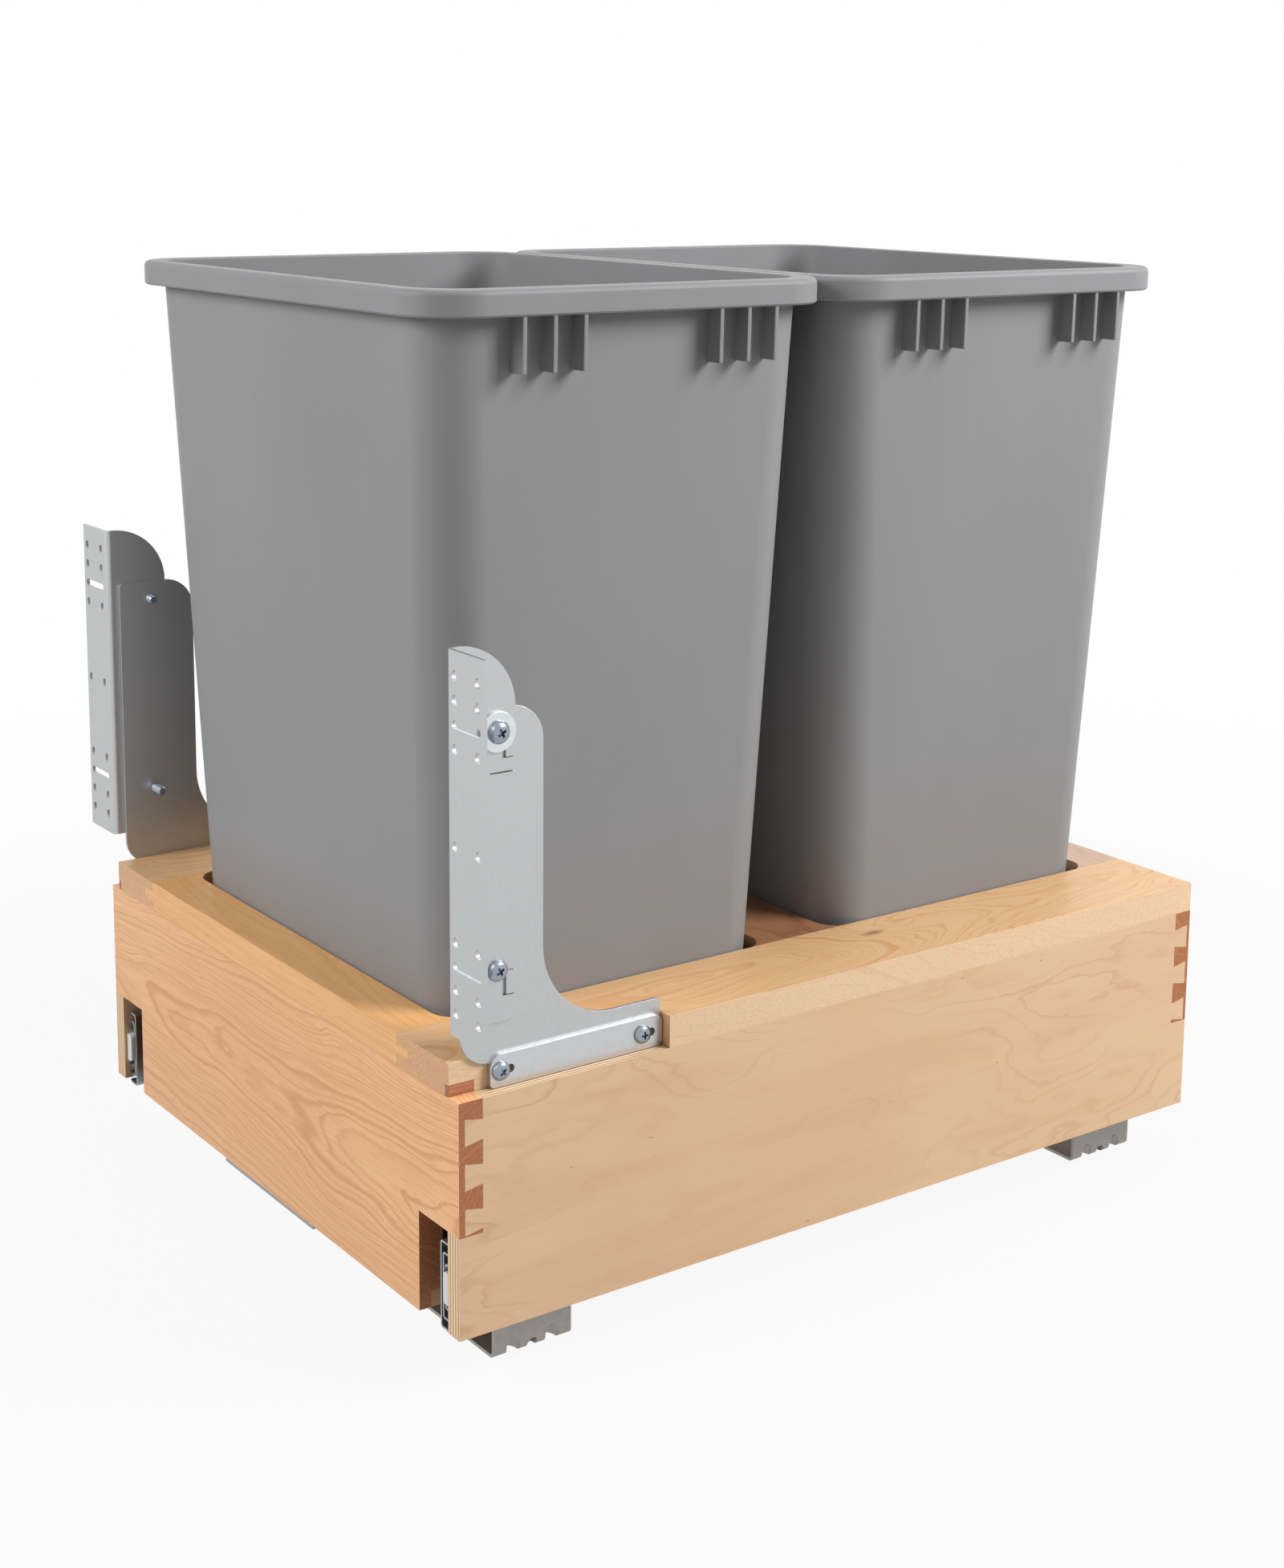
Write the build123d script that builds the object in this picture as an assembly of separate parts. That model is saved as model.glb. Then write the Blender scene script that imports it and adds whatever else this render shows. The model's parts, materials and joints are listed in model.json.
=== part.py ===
from build123d import *
import math
import os

# Pull-out frame for two waste bins, at real size in millimetres.
# +Z is up, the front faces -Y and +X is on the right seen from the front.
# The origin is on the cabinet floor, under the middle of the whole part.

# The wooden box
box_width = 453.0
box_depth = 570.0
floor_gap = 33.0
side_height = 135.5
side_thickness = 12.0
front_thickness = 15.1
rear_thickness = 13.7
bay_width = 42.5
bay_height = 59.0
bottom_thickness = 9.5
bottom_rabbet = 7.5

# The half-blind dovetails of the side panels
tail_length = 11.3
pin_pitch = 25.4
pin_root = 14.2
pin_tip = 10.1
top_pin_drop = 4.7

# The frame on top of the box
frame_thickness = 19.05
hole_radius = 16.0
hole_side_ease = 0.5
tongue_length = 12.0
tongue_thickness = 6.35
recess_depth = 10.6
recess_length = 138.5
plug_width = 3.3
plug_length = 16.0
plug_height = 6.5
plug_gap = 0.3

# The bins
bin_height = 552.0
bin_wall = 2.4
bin_floor = 3.2
bin_draft_x = 2.48
bin_draft_y = 2.27
bin_corner_radius = 30.0
bin_foot_fillet = 6.0
bin_side_gap = 1.1
bin_end_gap = 1.35
rim_side_margin = 36.0
rim_end_margin = 6.7
rim_height = 15.0
rim_radius = 36.0
rim_fillet = 3.5
rim_overhang_x = 13.2
rim_overhang_y = 10.1
rim_gap = 2.2
rib_thickness = 2.8
rib_pitch = 19.6
rib_count = 3
rib_drop = 31.0
rib_lean = 1.0
front_rib_offset = 59.5
rear_rib_offset = 72.0

# The telescopic slides
slide_setback = 3.0
slide_rear_gap = 14.0
slide_height = 51.4
slide_width = 12.7
slide_drop = 2.4
slide_steel = 1.2
slide_bend = 1.6
lip_curl = 1.5
cabinet_lip = 9.2
middle_lip = 9.2
drawer_lip = 5.1
ball_diameter = 4.8
ball_play = 0.05
web_gap = 0.3
cage_steel = 0.6
cage_length = 220.0
cage_wing = 9.0
cage_bend = 1.0
cage_hole_play = 0.1
outer_ball_x = 6.0
inner_ball_x = 7.2
balls_per_row = 3
ball_row_inset = 12.0
stop_height = 14.0
stop_gap = 0.5
bumper_height = 18.8
bumper_depth = 6.5
bumper_length = 14.0
bumper_nose = 1.5
bumper_radius = 2.4

# The floor brackets that carry the slides
bracket_length = 52.0
bracket_steel = 2.0
bracket_bend = 3.0
bracket_inset = 37.0
rear_bracket_inset = 10.0
bracket_height = 70.0
floor_hole_diameter = 5.5
floor_hole_inset = 50.0
floor_hole_spacing = 26.0
bend_notch_radius = 3.5
dart_radius = 4.5
dart_reach = 10.0
dart_spacing = 26.0
rivet_diameter = 5.0
rivet_head = 9.0
rivet_head_height = 1.4

# The door brackets
plate_steel = 2.0
plate_gap = 0.15
seat_gap = 0.1
arm_front = 6.5
arm_rear = 59.0
arm_top = 345.0
arm_top_radius = 20.0
arm_front_radius = 2.5
arm_heel_radius = 18.0
arm_heel_height = 150.0
foot_front = 24.5
foot_rear = 138.0
foot_top = 163.3
foot_radius = 3.0
arm_throat_radius = 46.0
clamp_front = 24.0
clamp_margin = 0.3
clamp_front_radius = 7.5
clamp_rear_radius = 5.0
clamp_low_radius = 2.5
clamp_screw_inset = 6.4
clamp_screw_spacing = 93.7
adjust_travel = 6.4
clamp_slot_width = 4.8
flange_lead = 1.3
flange_width = 37.0
flange_bottom = 173.0
flange_height = 208.0
flange_bend = 2.5
leg_rear = 40.0
leg_top_radius = 36.0
door_hole_diameter = 5.5
door_hole_pitch = 13.0
door_hole_edge = 6.0
door_hole_spread = 22.5
door_slot_width = 4.6
door_slot_length = 28.0
pivot_height = 333.0
pivot_inset = 28.3
pivot_drop = 131.0
pivot_play = 0.05
tilt_slot_length = 10.8
notch_drop = 15.0
notch_height = 14.2
notch_front = 31.7
pad_front = 33.9
pad_gap = 0.45
slit_drop = 22.5
slit_length = 16.0
slit_width = 0.9

# Screws: shank diameter, length under the head, head diameter and head height
wood_screw_diameter = 4.0
wood_screw_length = 14.0
wood_screw_head = 11.0
wood_screw_head_height = 3.0
rail_screw_diameter = 3.2
rail_screw_length = 10.0
rail_screw_head = 7.0
rail_screw_head_height = 1.6
rail_screw_inset = 40.0
rail_screw_count = 3
pivot_screw_diameter = 6.0
pivot_screw_length = 11.5
pivot_screw_head = 13.0
pivot_screw_head_height = 3.8
washer_diameter = 22.0
washer_thickness = 1.6
tilt_screw_diameter = 6.0
tilt_screw_length = 16.0
tilt_screw_head = 12.0
tilt_screw_head_height = 3.4
bottom_screw_diameter = 4.0
bottom_screw_length = 30.0
bottom_screw_head = 7.0
bottom_screw_head_height = 2.6
bottom_screw_spacing = 260.0
head_chamfer_share = 0.5

# The steel plate under the front board
tie_width = 117.0
tie_depth = 40.0
tie_steel = 2.2
tie_screw_spacing = 80.0
tie_screw_inset = 28.0
tie_screw_length = 8.0

# One overrun serves every cut
overrun = 5.0
quarter_turn = 90.0

# Places worked out from the sizes
half_box = box_width / 2
panel_x = half_box - side_thickness
y_front = (flange_lead - box_depth) / 2
y_rear = y_front + box_depth
box_z = floor_gap
bay_top = box_z + bay_height
side_top = box_z + side_height
frame_top = side_top + frame_thickness
bin_z = box_z + bottom_thickness
rim_z = bin_height - rim_height
rim_width = box_width - 2 * rim_side_margin
rim_length = (box_depth - rim_gap) / 2 - rim_end_margin
bin_pitch = rim_length + rim_gap
bin_centres = (y_front + (box_depth - bin_pitch) / 2, y_front + (box_depth + bin_pitch) / 2)
recess_x = half_box - recess_depth
slide_x = panel_x - slide_width
slide_z = box_z - slide_drop + slide_height / 2
rail_front = y_front + slide_setback
slide_length = box_depth - slide_setback - slide_rear_gap
rail_rear = rail_front + slide_length
cage_front = rail_front + (slide_length - cage_length) / 2
front_bracket_y = y_front + bracket_inset
rear_bracket_y = rail_rear - rear_bracket_inset - bracket_length
arm_x = recess_x + seat_gap
clamp_x = arm_x + plate_steel
leg_x = clamp_x + plate_gap
pivot_y = y_front + pivot_inset
pivot_z = box_z + pivot_height
tilt_z = pivot_z - pivot_drop
clamp_z = side_top + clamp_margin
clamp_height = frame_thickness - 2 * clamp_margin
clamp_screw_y = y_front + clamp_front + clamp_screw_inset
clamp_screw_z = clamp_z + clamp_height / 2


def block(x0, x1, y0, y1, z0, z1):
    """Block between two opposite corners."""
    return Pos((x0 + x1) / 2, (y0 + y1) / 2, (z0 + z1) / 2) * Box(x1 - x0, y1 - y0, z1 - z0)


def rod_x(radius, x0, x1, y, z):
    """Round bar along X."""
    return Pos((x0 + x1) / 2, y, z) * Rot(0, quarter_turn, 0) * Cylinder(radius, x1 - x0)


def rod_y(radius, x, y0, y1, z):
    """Round bar along Y."""
    return Pos(x, (y0 + y1) / 2, z) * Rot(quarter_turn, 0, 0) * Cylinder(radius, y1 - y0)


def rod_z(radius, x, y, z0, z1):
    """Round bar along Z."""
    return Pos(x, y, (z0 + z1) / 2) * Cylinder(radius, z1 - z0)


def side_plate(outline, x, thickness):
    """Plate with an outline of (y, z), standing at x with its thickness towards +X."""
    plane = Plane(origin=(x, 0, 0), x_dir=(0, 1, 0), z_dir=(1, 0, 0))
    return extrude(plane * outline, thickness)


def section_along_y(section, x, y0, y1, z):
    """Section of (x, z) run from y0 to y1, with its own origin at x and z."""
    plane = Plane(origin=(x, y1, z), x_dir=(1, 0, 0), z_dir=(0, -1, 0))
    return extrude(plane * section, y1 - y0)


def to_left(shape):
    """Mirror image of a right-hand piece."""
    return mirror(shape, about=Plane.YZ)


def group(shapes):
    """Several separate solids kept under one name."""
    solids = [solid for shape in shapes for solid in shape.solids()]
    return Compound(solids)


def headed(diameter, length, head, head_height):
    """Rivet or screw with a flat head above its own origin and its shank below."""
    return rod_z(head / 2, 0, 0, 0, head_height) + rod_z(diameter / 2, 0, 0, -length, 0)


def pan_headed(diameter, length, head, head_height):
    """Screw whose head has a bevelled crown."""
    screw = headed(diameter, length, head, head_height)
    crown = screw.edges().filter_by(GeomType.CIRCLE).sort_by(Axis.Z)[-1]
    return chamfer(crown, head_height * head_chamfer_share)


def facing(shape, x, y, z, direction):
    """Piece whose own +Z is turned to a direction and whose origin is put at a place."""
    return Plane(origin=(x, y, z), z_dir=direction).location * shape


# The box

def pin_levels():
    """Heights of the centres of the dovetail pins, from the top down to the slide bay."""
    levels = []
    z = side_top - top_pin_drop
    while z + pin_root / 2 > bay_top:
        levels.append(z)
        z -= pin_pitch
    return levels


def joint_waste(y_face, inward, board):
    """What a side panel loses at one end, where a board's lap and pins go."""
    y_lap = y_face + inward * (board - tail_length)
    y_root = y_face + inward * board
    y_out = y_face - inward * overrun
    waste = block(panel_x, half_box, min(y_out, y_lap), max(y_out, y_lap), bay_top, side_top)
    for z in pin_levels():
        outline = make_face(Polyline(
            (y_lap, z - pin_tip / 2), (y_root, z - pin_root / 2),
            (y_root, z + pin_root / 2), (y_lap, z + pin_tip / 2), close=True))
        waste += side_plate(outline, panel_x, side_thickness)
    return waste & block(panel_x, half_box, y_front - overrun, y_rear + overrun, bay_top, side_top)


def rail_screw_places():
    """Where along the slides the drawer rails are screwed to the side panels."""
    step = (slide_length - 2 * rail_screw_inset) / (rail_screw_count - 1)
    return [rail_front + rail_screw_inset + i * step for i in range(rail_screw_count)]


def side_panel():
    """Plywood side panel, with dovetail tails at both ends and pilot holes for its rail."""
    panel = block(panel_x, half_box, y_front, y_rear, box_z, side_top)
    panel -= joint_waste(y_front, 1, front_thickness)
    panel -= joint_waste(y_rear, -1, rear_thickness)
    for y in rail_screw_places():
        panel -= rod_x(rail_screw_diameter / 2, panel_x, panel_x + rail_screw_length, y, slide_z)
    return panel


def bottom_screw_places(y_face, inward, board):
    """Centres of the screws that hold one end of the bottom panel."""
    y = y_face + inward * (board - bottom_rabbet / 2)
    return [(side * bottom_screw_spacing / 2, y) for side in (-1, 1)]


def end_board(y_face, inward, board, panels):
    """Front or rear board: its ends are cut around the tails, its lower corners clear the slides."""
    y_back = y_face + inward * board
    y0, y1 = min(y_face, y_back), max(y_face, y_back)
    wood = block(-half_box, half_box, y0, y1, box_z, side_top)
    for side in (-1, 1):
        x0, x1 = sorted((side * (half_box - bay_width), side * (half_box + overrun)))
        wood -= block(x0, x1, y0, y1, box_z, bay_top)
    for panel in panels:
        wood -= panel
    y_step = y_back - inward * bottom_rabbet
    y2, y3 = min(y_step, y_back), max(y_step, y_back)
    wood -= block(bay_width - half_box, half_box - bay_width, y2, y3, box_z, bin_z)
    for x, y in bottom_screw_places(y_face, inward, board):
        wood -= rod_z(bottom_screw_diameter / 2, x, y, box_z, box_z + bottom_screw_length)
    return wood


def countersunk(length):
    """Countersunk screw pointing up from its own origin, with its flat head at the bottom."""
    head = Cone(bottom_screw_head / 2, bottom_screw_diameter / 2, bottom_screw_head_height)
    head = Pos(0, 0, bottom_screw_head_height / 2) * head
    return head + rod_z(bottom_screw_diameter / 2, 0, 0, 0, length)


def all_bottom_places():
    """Centres of all screws through the bottom panel's two ends."""
    front = bottom_screw_places(y_front, 1, front_thickness)
    rear = bottom_screw_places(y_rear, -1, rear_thickness)
    return front + rear


def tie_screw_places():
    """Centres of the screws through the tie plate."""
    return [(side * tie_screw_spacing / 2, y_front + tie_screw_inset) for side in (-1, 1)]


def bottom_panel():
    """Panel that the bins stand on, let into the rabbets of both boards."""
    y0 = y_front + front_thickness - bottom_rabbet
    y1 = y_rear - rear_thickness + bottom_rabbet
    panel = block(bay_width - half_box, half_box - bay_width, y0, y1, box_z, bin_z)
    for x, y in all_bottom_places():
        panel -= Pos(x, y, box_z) * countersunk(bottom_screw_length)
    for x, y in tie_screw_places():
        panel -= Pos(x, y, box_z - tie_steel) * countersunk(tie_screw_length)
    return panel


def tie_plate():
    """Thin steel plate across the joint of front board and bottom panel."""
    plate = block(-tie_width / 2, tie_width / 2, y_front, y_front + tie_depth, box_z - tie_steel, box_z)
    for x, y in tie_screw_places():
        plate -= Pos(x, y, box_z - tie_steel) * countersunk(tie_screw_length)
    return plate


# The frame on top

def bin_half(z, overhang, rim, draft):
    """Half the outer width of a bin's body at a height above its foot."""
    return rim / 2 - overhang - (rim_z - z) * math.tan(math.radians(draft))


frame_top_in_bin = frame_top - bin_z
hole_half_x = bin_half(frame_top_in_bin, rim_overhang_x, rim_width, bin_draft_x) + bin_side_gap
hole_half_y = bin_half(frame_top_in_bin, rim_overhang_y, rim_length, bin_draft_y) + bin_end_gap


def frame_field():
    """The three cross rails seen from above, with the bins' holes cut out."""
    field = Pos(0, (y_front + y_rear) / 2) * Rectangle(2 * hole_half_x, box_depth)
    for y in bin_centres:
        hole = RectangleRounded(2 * (hole_half_x + hole_side_ease), 2 * hole_half_y, hole_radius)
        field -= Pos(0, y) * hole
    return field


def cross_rail_spans():
    """Front and rear edge of each cross rail between the holes."""
    first, second = bin_centres
    return [
        (y_front, first - hole_half_y),
        (first + hole_half_y, second - hole_half_y),
        (second + hole_half_y, y_rear),
    ]


def tongues(y0, y1):
    """Tongues at both ends of a cross rail."""
    z0 = (side_top + frame_top - tongue_thickness) / 2
    reach = hole_half_x + tongue_length
    return [
        block(-reach, -hole_half_x, y0, y1, z0, z0 + tongue_thickness),
        block(hole_half_x, reach, y0, y1, z0, z0 + tongue_thickness),
    ]


def cross_rails():
    """Front, centre and rear rails of the frame, with concave corners and tongues."""
    faces = frame_field().faces().sort_by(Axis.Y)
    rails = []
    for face, span in zip(faces, cross_rail_spans()):
        rail = Pos(0, 0, side_top) * extrude(face, frame_thickness)
        for tongue in tongues(*span):
            rail += tongue
        rails.append(rail)
    return rails


def plug_space(gap):
    """Small inlaid block in the front corner of the bracket recess."""
    x0 = recess_x - plug_width
    return block(x0, recess_x, y_front, y_front + plug_length, side_top + gap, side_top + plug_height)


def clamp_screw_places():
    """Where the two clamp screws of a side sit along the box."""
    return [clamp_screw_y, clamp_screw_y + clamp_screw_spacing]


def side_rail():
    """Long rail of the frame, recessed outside at the front for the door bracket."""
    rail = block(hole_half_x, half_box, y_front, y_rear, side_top, frame_top)
    y_end = y_front + recess_length
    rail -= block(recess_x, half_box, y_front, y_end, side_top, frame_top)
    for span in cross_rail_spans():
        rail -= tongues(*span)[1]
    rail -= plug_space(0)
    for y in clamp_screw_places():
        rail -= rod_x(wood_screw_diameter / 2, clamp_x + plate_steel - wood_screw_length, recess_x, y, clamp_screw_z)
    return rail


# The bins

def tapered_wedge(plane, low, high, z0, z1, reach):
    """Wedge with two sloping sides, wide along the plane's own X and deep both ways from it."""
    outline = make_face(Polyline((-low, z0), (low, z0), (high, z1), (-high, z1), close=True))
    return extrude(plane * outline, reach, both=True)


def bin_body(z0, z1, inset):
    """Tapered body between two heights, drawn in by inset, with rounded corners."""
    low_x, high_x = (bin_half(z, rim_overhang_x, rim_width, bin_draft_x) - inset for z in (z0, z1))
    low_y, high_y = (bin_half(z, rim_overhang_y, rim_length, bin_draft_y) - inset for z in (z0, z1))
    body = tapered_wedge(Plane.XZ, low_x, high_x, z0, z1, rim_length)
    body &= tapered_wedge(Plane.YZ, low_y, high_y, z0, z1, rim_width)
    upright = body.edges().filter_by(lambda edge: edge.bounding_box().size.Z > (z1 - z0) / 2)
    return fillet(upright, bin_corner_radius - inset)


def bin_rim():
    """Turned-down rim, hollow underneath, with a rounded upper edge."""
    rim = Pos(0, 0, rim_z) * extrude(RectangleRounded(rim_width, rim_length, rim_radius), rim_height)
    rim = fillet(rim.faces().sort_by(Axis.Z)[-1].edges(), rim_fillet)
    hollow = RectangleRounded(rim_width - 2 * bin_wall, rim_length - 2 * bin_wall, rim_radius - bin_wall)
    return rim - Pos(0, 0, rim_z) * extrude(hollow, rim_height - bin_wall)


def bin_rib(side, y):
    """Upright stiffening rib under the rim, between the body and the skirt."""
    z_low = rim_z - rib_drop
    z_high = bin_height - bin_wall
    root_low = bin_half(z_low, rim_overhang_x, rim_width, bin_draft_x) - bin_wall / 2
    root_high = bin_half(z_high, rim_overhang_x, rim_width, bin_draft_x) - bin_wall / 2
    edge = rim_width / 2 - bin_wall / 2
    outline = make_face(Polyline(
        (side * root_low, z_low), (side * (edge - rib_lean), z_low),
        (side * edge, rim_z), (side * edge, z_high), (side * root_high, z_high), close=True))
    return section_along_y(outline, 0, y - rib_thickness / 2, y + rib_thickness / 2, 0)


def rib_places():
    """Places of the ribs along one side of a bin, in two groups."""
    middle = (rib_count - 1) / 2
    steps = [(i - middle) * rib_pitch for i in range(rib_count)]
    return [step - front_rib_offset for step in steps] + [step + rear_rib_offset for step in steps]


def waste_bin():
    """Moulded bin standing on its own foot at the origin."""
    body = bin_body(0, bin_height, 0)
    body = fillet(body.faces().sort_by(Axis.Z)[0].edges(), bin_foot_fillet)
    shell = bin_rim() + body
    for side in (-1, 1):
        for y in rib_places():
            shell += bin_rib(side, y)
    return shell - bin_body(bin_floor, bin_height + overrun, bin_wall)


# The slides

cage_half_drop = ball_diameter / 2 + ball_play
cabinet_lip_z = (slide_height - slide_steel) / 2
outer_ball_z = slide_height / 2 - slide_steel - cage_half_drop
middle_lip_z = outer_ball_z - cage_half_drop - slide_steel / 2
inner_ball_z = middle_lip_z - slide_steel / 2 - cage_half_drop
drawer_lip_z = inner_ball_z - cage_half_drop - slide_steel / 2
outer_cage_x = slide_steel + web_gap + cage_steel / 2
middle_web_x = outer_cage_x + cage_steel / 2 + web_gap + slide_steel / 2
inner_cage_x = middle_web_x + slide_steel / 2 + web_gap + cage_steel / 2
drawer_web_x = slide_width - slide_steel / 2


def channel(web_x, lip_x, lip_z, curl, steel, bend):
    """Section of a folded channel: a web, two lips and their curled ends."""
    curl_z = lip_z - abs(curl)
    upper = [(lip_x + curl, curl_z), (lip_x, lip_z), (web_x, lip_z)]
    lower = [(x, -z) for x, z in reversed(upper)]
    return trace(FilletPolyline(*upper, *lower, radius=bend), steel)


def slide_piece(section, y0, y1):
    """Slide section run between two places along the box."""
    return section_along_y(section, slide_x, y0, y1, slide_z)


def rivet_places():
    """Where the cabinet rails are riveted to the two floor brackets."""
    return [front_bracket_y + bracket_length / 2, rear_bracket_y + bracket_length / 2]


def cabinet_rail():
    """Outer member of a slide, with a stop folded across its rear end."""
    section = channel(slide_steel / 2, cabinet_lip, cabinet_lip_z, lip_curl, slide_steel, slide_bend)
    rail = slide_piece(section, rail_front, rail_rear)
    rail += block(slide_x, slide_x + cabinet_lip, rail_rear - slide_steel, rail_rear,
                  slide_z - stop_height / 2, slide_z + stop_height / 2)
    for y in rivet_places():
        rail -= rod_x(rivet_diameter / 2, slide_x, slide_x + slide_steel, y, slide_z)
    return rail


moving_rail_rear = rail_rear - slide_steel - stop_gap


def middle_rail():
    """Middle member of a slide, which runs out half as far as the box."""
    section = channel(middle_web_x, middle_lip, middle_lip_z, lip_curl, slide_steel, slide_bend)
    return slide_piece(section, rail_front, moving_rail_rear)


def drawer_rail():
    """Inner member of a slide, screwed to the side panel."""
    section = channel(drawer_web_x, drawer_lip + lip_curl, drawer_lip_z, -lip_curl, slide_steel, slide_bend)
    rail = slide_piece(section, rail_front, moving_rail_rear)
    for y in rail_screw_places():
        rail -= rod_x(rail_screw_diameter / 2, panel_x - slide_steel, panel_x, y, slide_z)
    return rail


def ball_places(lip_z):
    """Places of the balls in one cage: along the slide and above or below its middle."""
    y0 = cage_front + ball_row_inset
    step = (cage_length - 2 * ball_row_inset) / (balls_per_row - 1)
    return [(y0 + i * step, slide_z + side * lip_z) for i in range(balls_per_row) for side in (-1, 1)]


def ball_cage(web_x, ball_x, lip_z):
    """Thin folded cage that spaces the balls between two slide members."""
    wing = web_x + cage_wing - outer_cage_x
    points = [(wing, lip_z), (web_x, lip_z), (web_x, -lip_z), (wing, -lip_z)]
    cage = slide_piece(trace(FilletPolyline(*points, radius=cage_bend), cage_steel),
                       cage_front, cage_front + cage_length)
    hole = ball_diameter / 2 + cage_hole_play
    for y, z in ball_places(lip_z):
        cage -= rod_z(hole, slide_x + ball_x, y, z - cage_steel, z + cage_steel)
    return cage


def ball_set(ball_x, lip_z):
    """Steel balls of one cage."""
    return group([Pos(slide_x + ball_x, y, z) * Sphere(ball_diameter / 2) for y, z in ball_places(lip_z)])


def rail_bumper():
    """Plastic nose clipped into the front end of a drawer rail."""
    x1 = slide_x + drawer_web_x - slide_steel / 2
    nose = block(x1 - bumper_depth, x1, rail_front - bumper_nose, rail_front - bumper_nose + bumper_length,
                 slide_z - bumper_height / 2, slide_z + bumper_height / 2)
    inboard = nose.edges().filter_by(Axis.Y).group_by(Axis.X)[0]
    return fillet(inboard, bumper_radius)


def rail_screws():
    """Screws from the drawer rail into the side panel."""
    screw = headed(rail_screw_diameter, rail_screw_length + slide_steel, rail_screw_head, rail_screw_head_height)
    x = panel_x - slide_steel
    return [facing(screw, x, y, slide_z, (-1, 0, 0)) for y in rail_screw_places()]


# The floor brackets

def dart(side, y):
    """Tool that presses a dart into a bend, and the gusset it raises inside."""
    x_corner = side * slide_x
    inset = dart_reach / math.sqrt(2) - dart_radius
    shift = inset / math.sqrt(2)
    place = Pos(x_corner - side * shift, y, shift) * Rot(0, side * quarter_turn / 2, 0)
    tool = place * Cylinder(dart_radius, 2 * dart_reach)
    skin = place * Cylinder(dart_radius + bracket_steel, 2 * dart_reach)
    x0, x1 = sorted((x_corner - side * bracket_steel, x_corner - side * 2 * dart_reach))
    inside = block(x0, x1, y - dart_reach, y + dart_reach, bracket_steel, 2 * dart_reach)
    return tool, skin & inside


def floor_bracket(y0):
    """Strap across the cabinet floor with an upright at each end for the slides."""
    half = slide_x - bracket_steel / 2
    base = bracket_steel / 2
    points = [(-half, bracket_height), (-half, base), (half, base), (half, bracket_height)]
    strap = trace(FilletPolyline(*points, radius=bracket_bend), bracket_steel)
    bracket = section_along_y(strap, 0, y0, y0 + bracket_length, 0)
    middle = y0 + bracket_length / 2
    for side in (-1, 1):
        x0, x1 = sorted((side * (slide_x - 2 * bracket_bend), side * (slide_x + overrun)))
        bracket -= rod_x(bend_notch_radius, x0, x1, middle, bracket_steel)
        for step in (-1, 1):
            tool, gusset = dart(side, middle + step * dart_spacing / 2)
            bracket = bracket + gusset - tool
            x = side * (slide_x - floor_hole_inset)
            y = middle + step * floor_hole_spacing / 2
            bracket -= rod_z(floor_hole_diameter / 2, x, y, 0, bracket_steel)
        for y in rivet_places():
            x0, x1 = sorted((side * (slide_x - bracket_steel), side * slide_x))
            bracket -= rod_x(rivet_diameter / 2, x0, x1, y, slide_z)
    return bracket


def rail_rivets():
    """Rivets from the uprights into the cabinet rail, flush on the slide's side."""
    x = slide_x - bracket_steel
    rivet = headed(rivet_diameter, bracket_steel + slide_steel, rivet_head, rivet_head_height)
    return [facing(rivet, x, y, slide_z, (-1, 0, 0)) for y in rivet_places()]


# The door brackets

def outline_box(y0, y1, z0, z1):
    """Rectangle in the upright plane of the side plates, given from the box's front and underside."""
    return Pos(y_front + (y0 + y1) / 2, box_z + (z0 + z1) / 2) * Rectangle(y1 - y0, z1 - z0)


def corner(sketch, high, rear):
    """One corner of an outline: high or low, rear or front."""
    row = sketch.vertices().group_by(Axis.Y)[-1 if high else 0]
    return row.sort_by(Axis.X)[-1 if rear else 0]


def adjusting_slot(x0, x1, y, z):
    """Slot along the box that lets a bracket come forward past its screw."""
    half = clamp_slot_width / 2
    slot = rod_x(half, x0, x1, y, z) + rod_x(half, x0, x1, y + adjust_travel, z)
    return slot + block(x0, x1, y, y + adjust_travel, z - half, z + half)


def arm_outline():
    """Upright arm and long foot, with a wide concave throat between them."""
    upright = outline_box(arm_front, arm_rear, arm_heel_height, arm_top)
    upright = fillet(corner(upright, True, True), arm_top_radius)
    upright = fillet(corner(upright, True, False), arm_front_radius)
    upright = fillet(corner(upright, False, False), arm_heel_radius)
    foot_low = side_height + clamp_margin
    foot = outline_box(foot_front, foot_rear, foot_low, foot_top)
    foot = fillet(corner(foot, True, True), foot_radius)
    radius = arm_throat_radius
    throat = outline_box(arm_rear, arm_rear + radius, foot_top, foot_top + radius)
    centre = Pos(y_front + arm_rear + radius, box_z + foot_top + radius)
    return upright + foot + (throat - centre * Circle(radius))


def pads():
    """Guide pads that stand in the notches of the door plate."""
    z_low = [z - notch_drop + pad_gap for z in (pivot_z, tilt_z)]
    height = notch_height - 2 * pad_gap
    thickness = plate_gap + plate_steel
    return [block(clamp_x, clamp_x + thickness, y_front + pad_front, y_front + leg_rear, z, z + height) for z in z_low]


def arm_plate():
    """Arm of a door bracket, seated in the recess of the side rail."""
    arm = side_plate(arm_outline(), arm_x, plate_steel)
    for pad in pads():
        arm += pad
    for y in clamp_screw_places():
        arm -= adjusting_slot(arm_x, clamp_x, y, clamp_screw_z)
    arm -= rod_x(pivot_screw_diameter / 2, arm_x, clamp_x, pivot_y, pivot_z)
    return arm - rod_x(tilt_screw_diameter / 2, arm_x, clamp_x, pivot_y, tilt_z)


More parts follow.
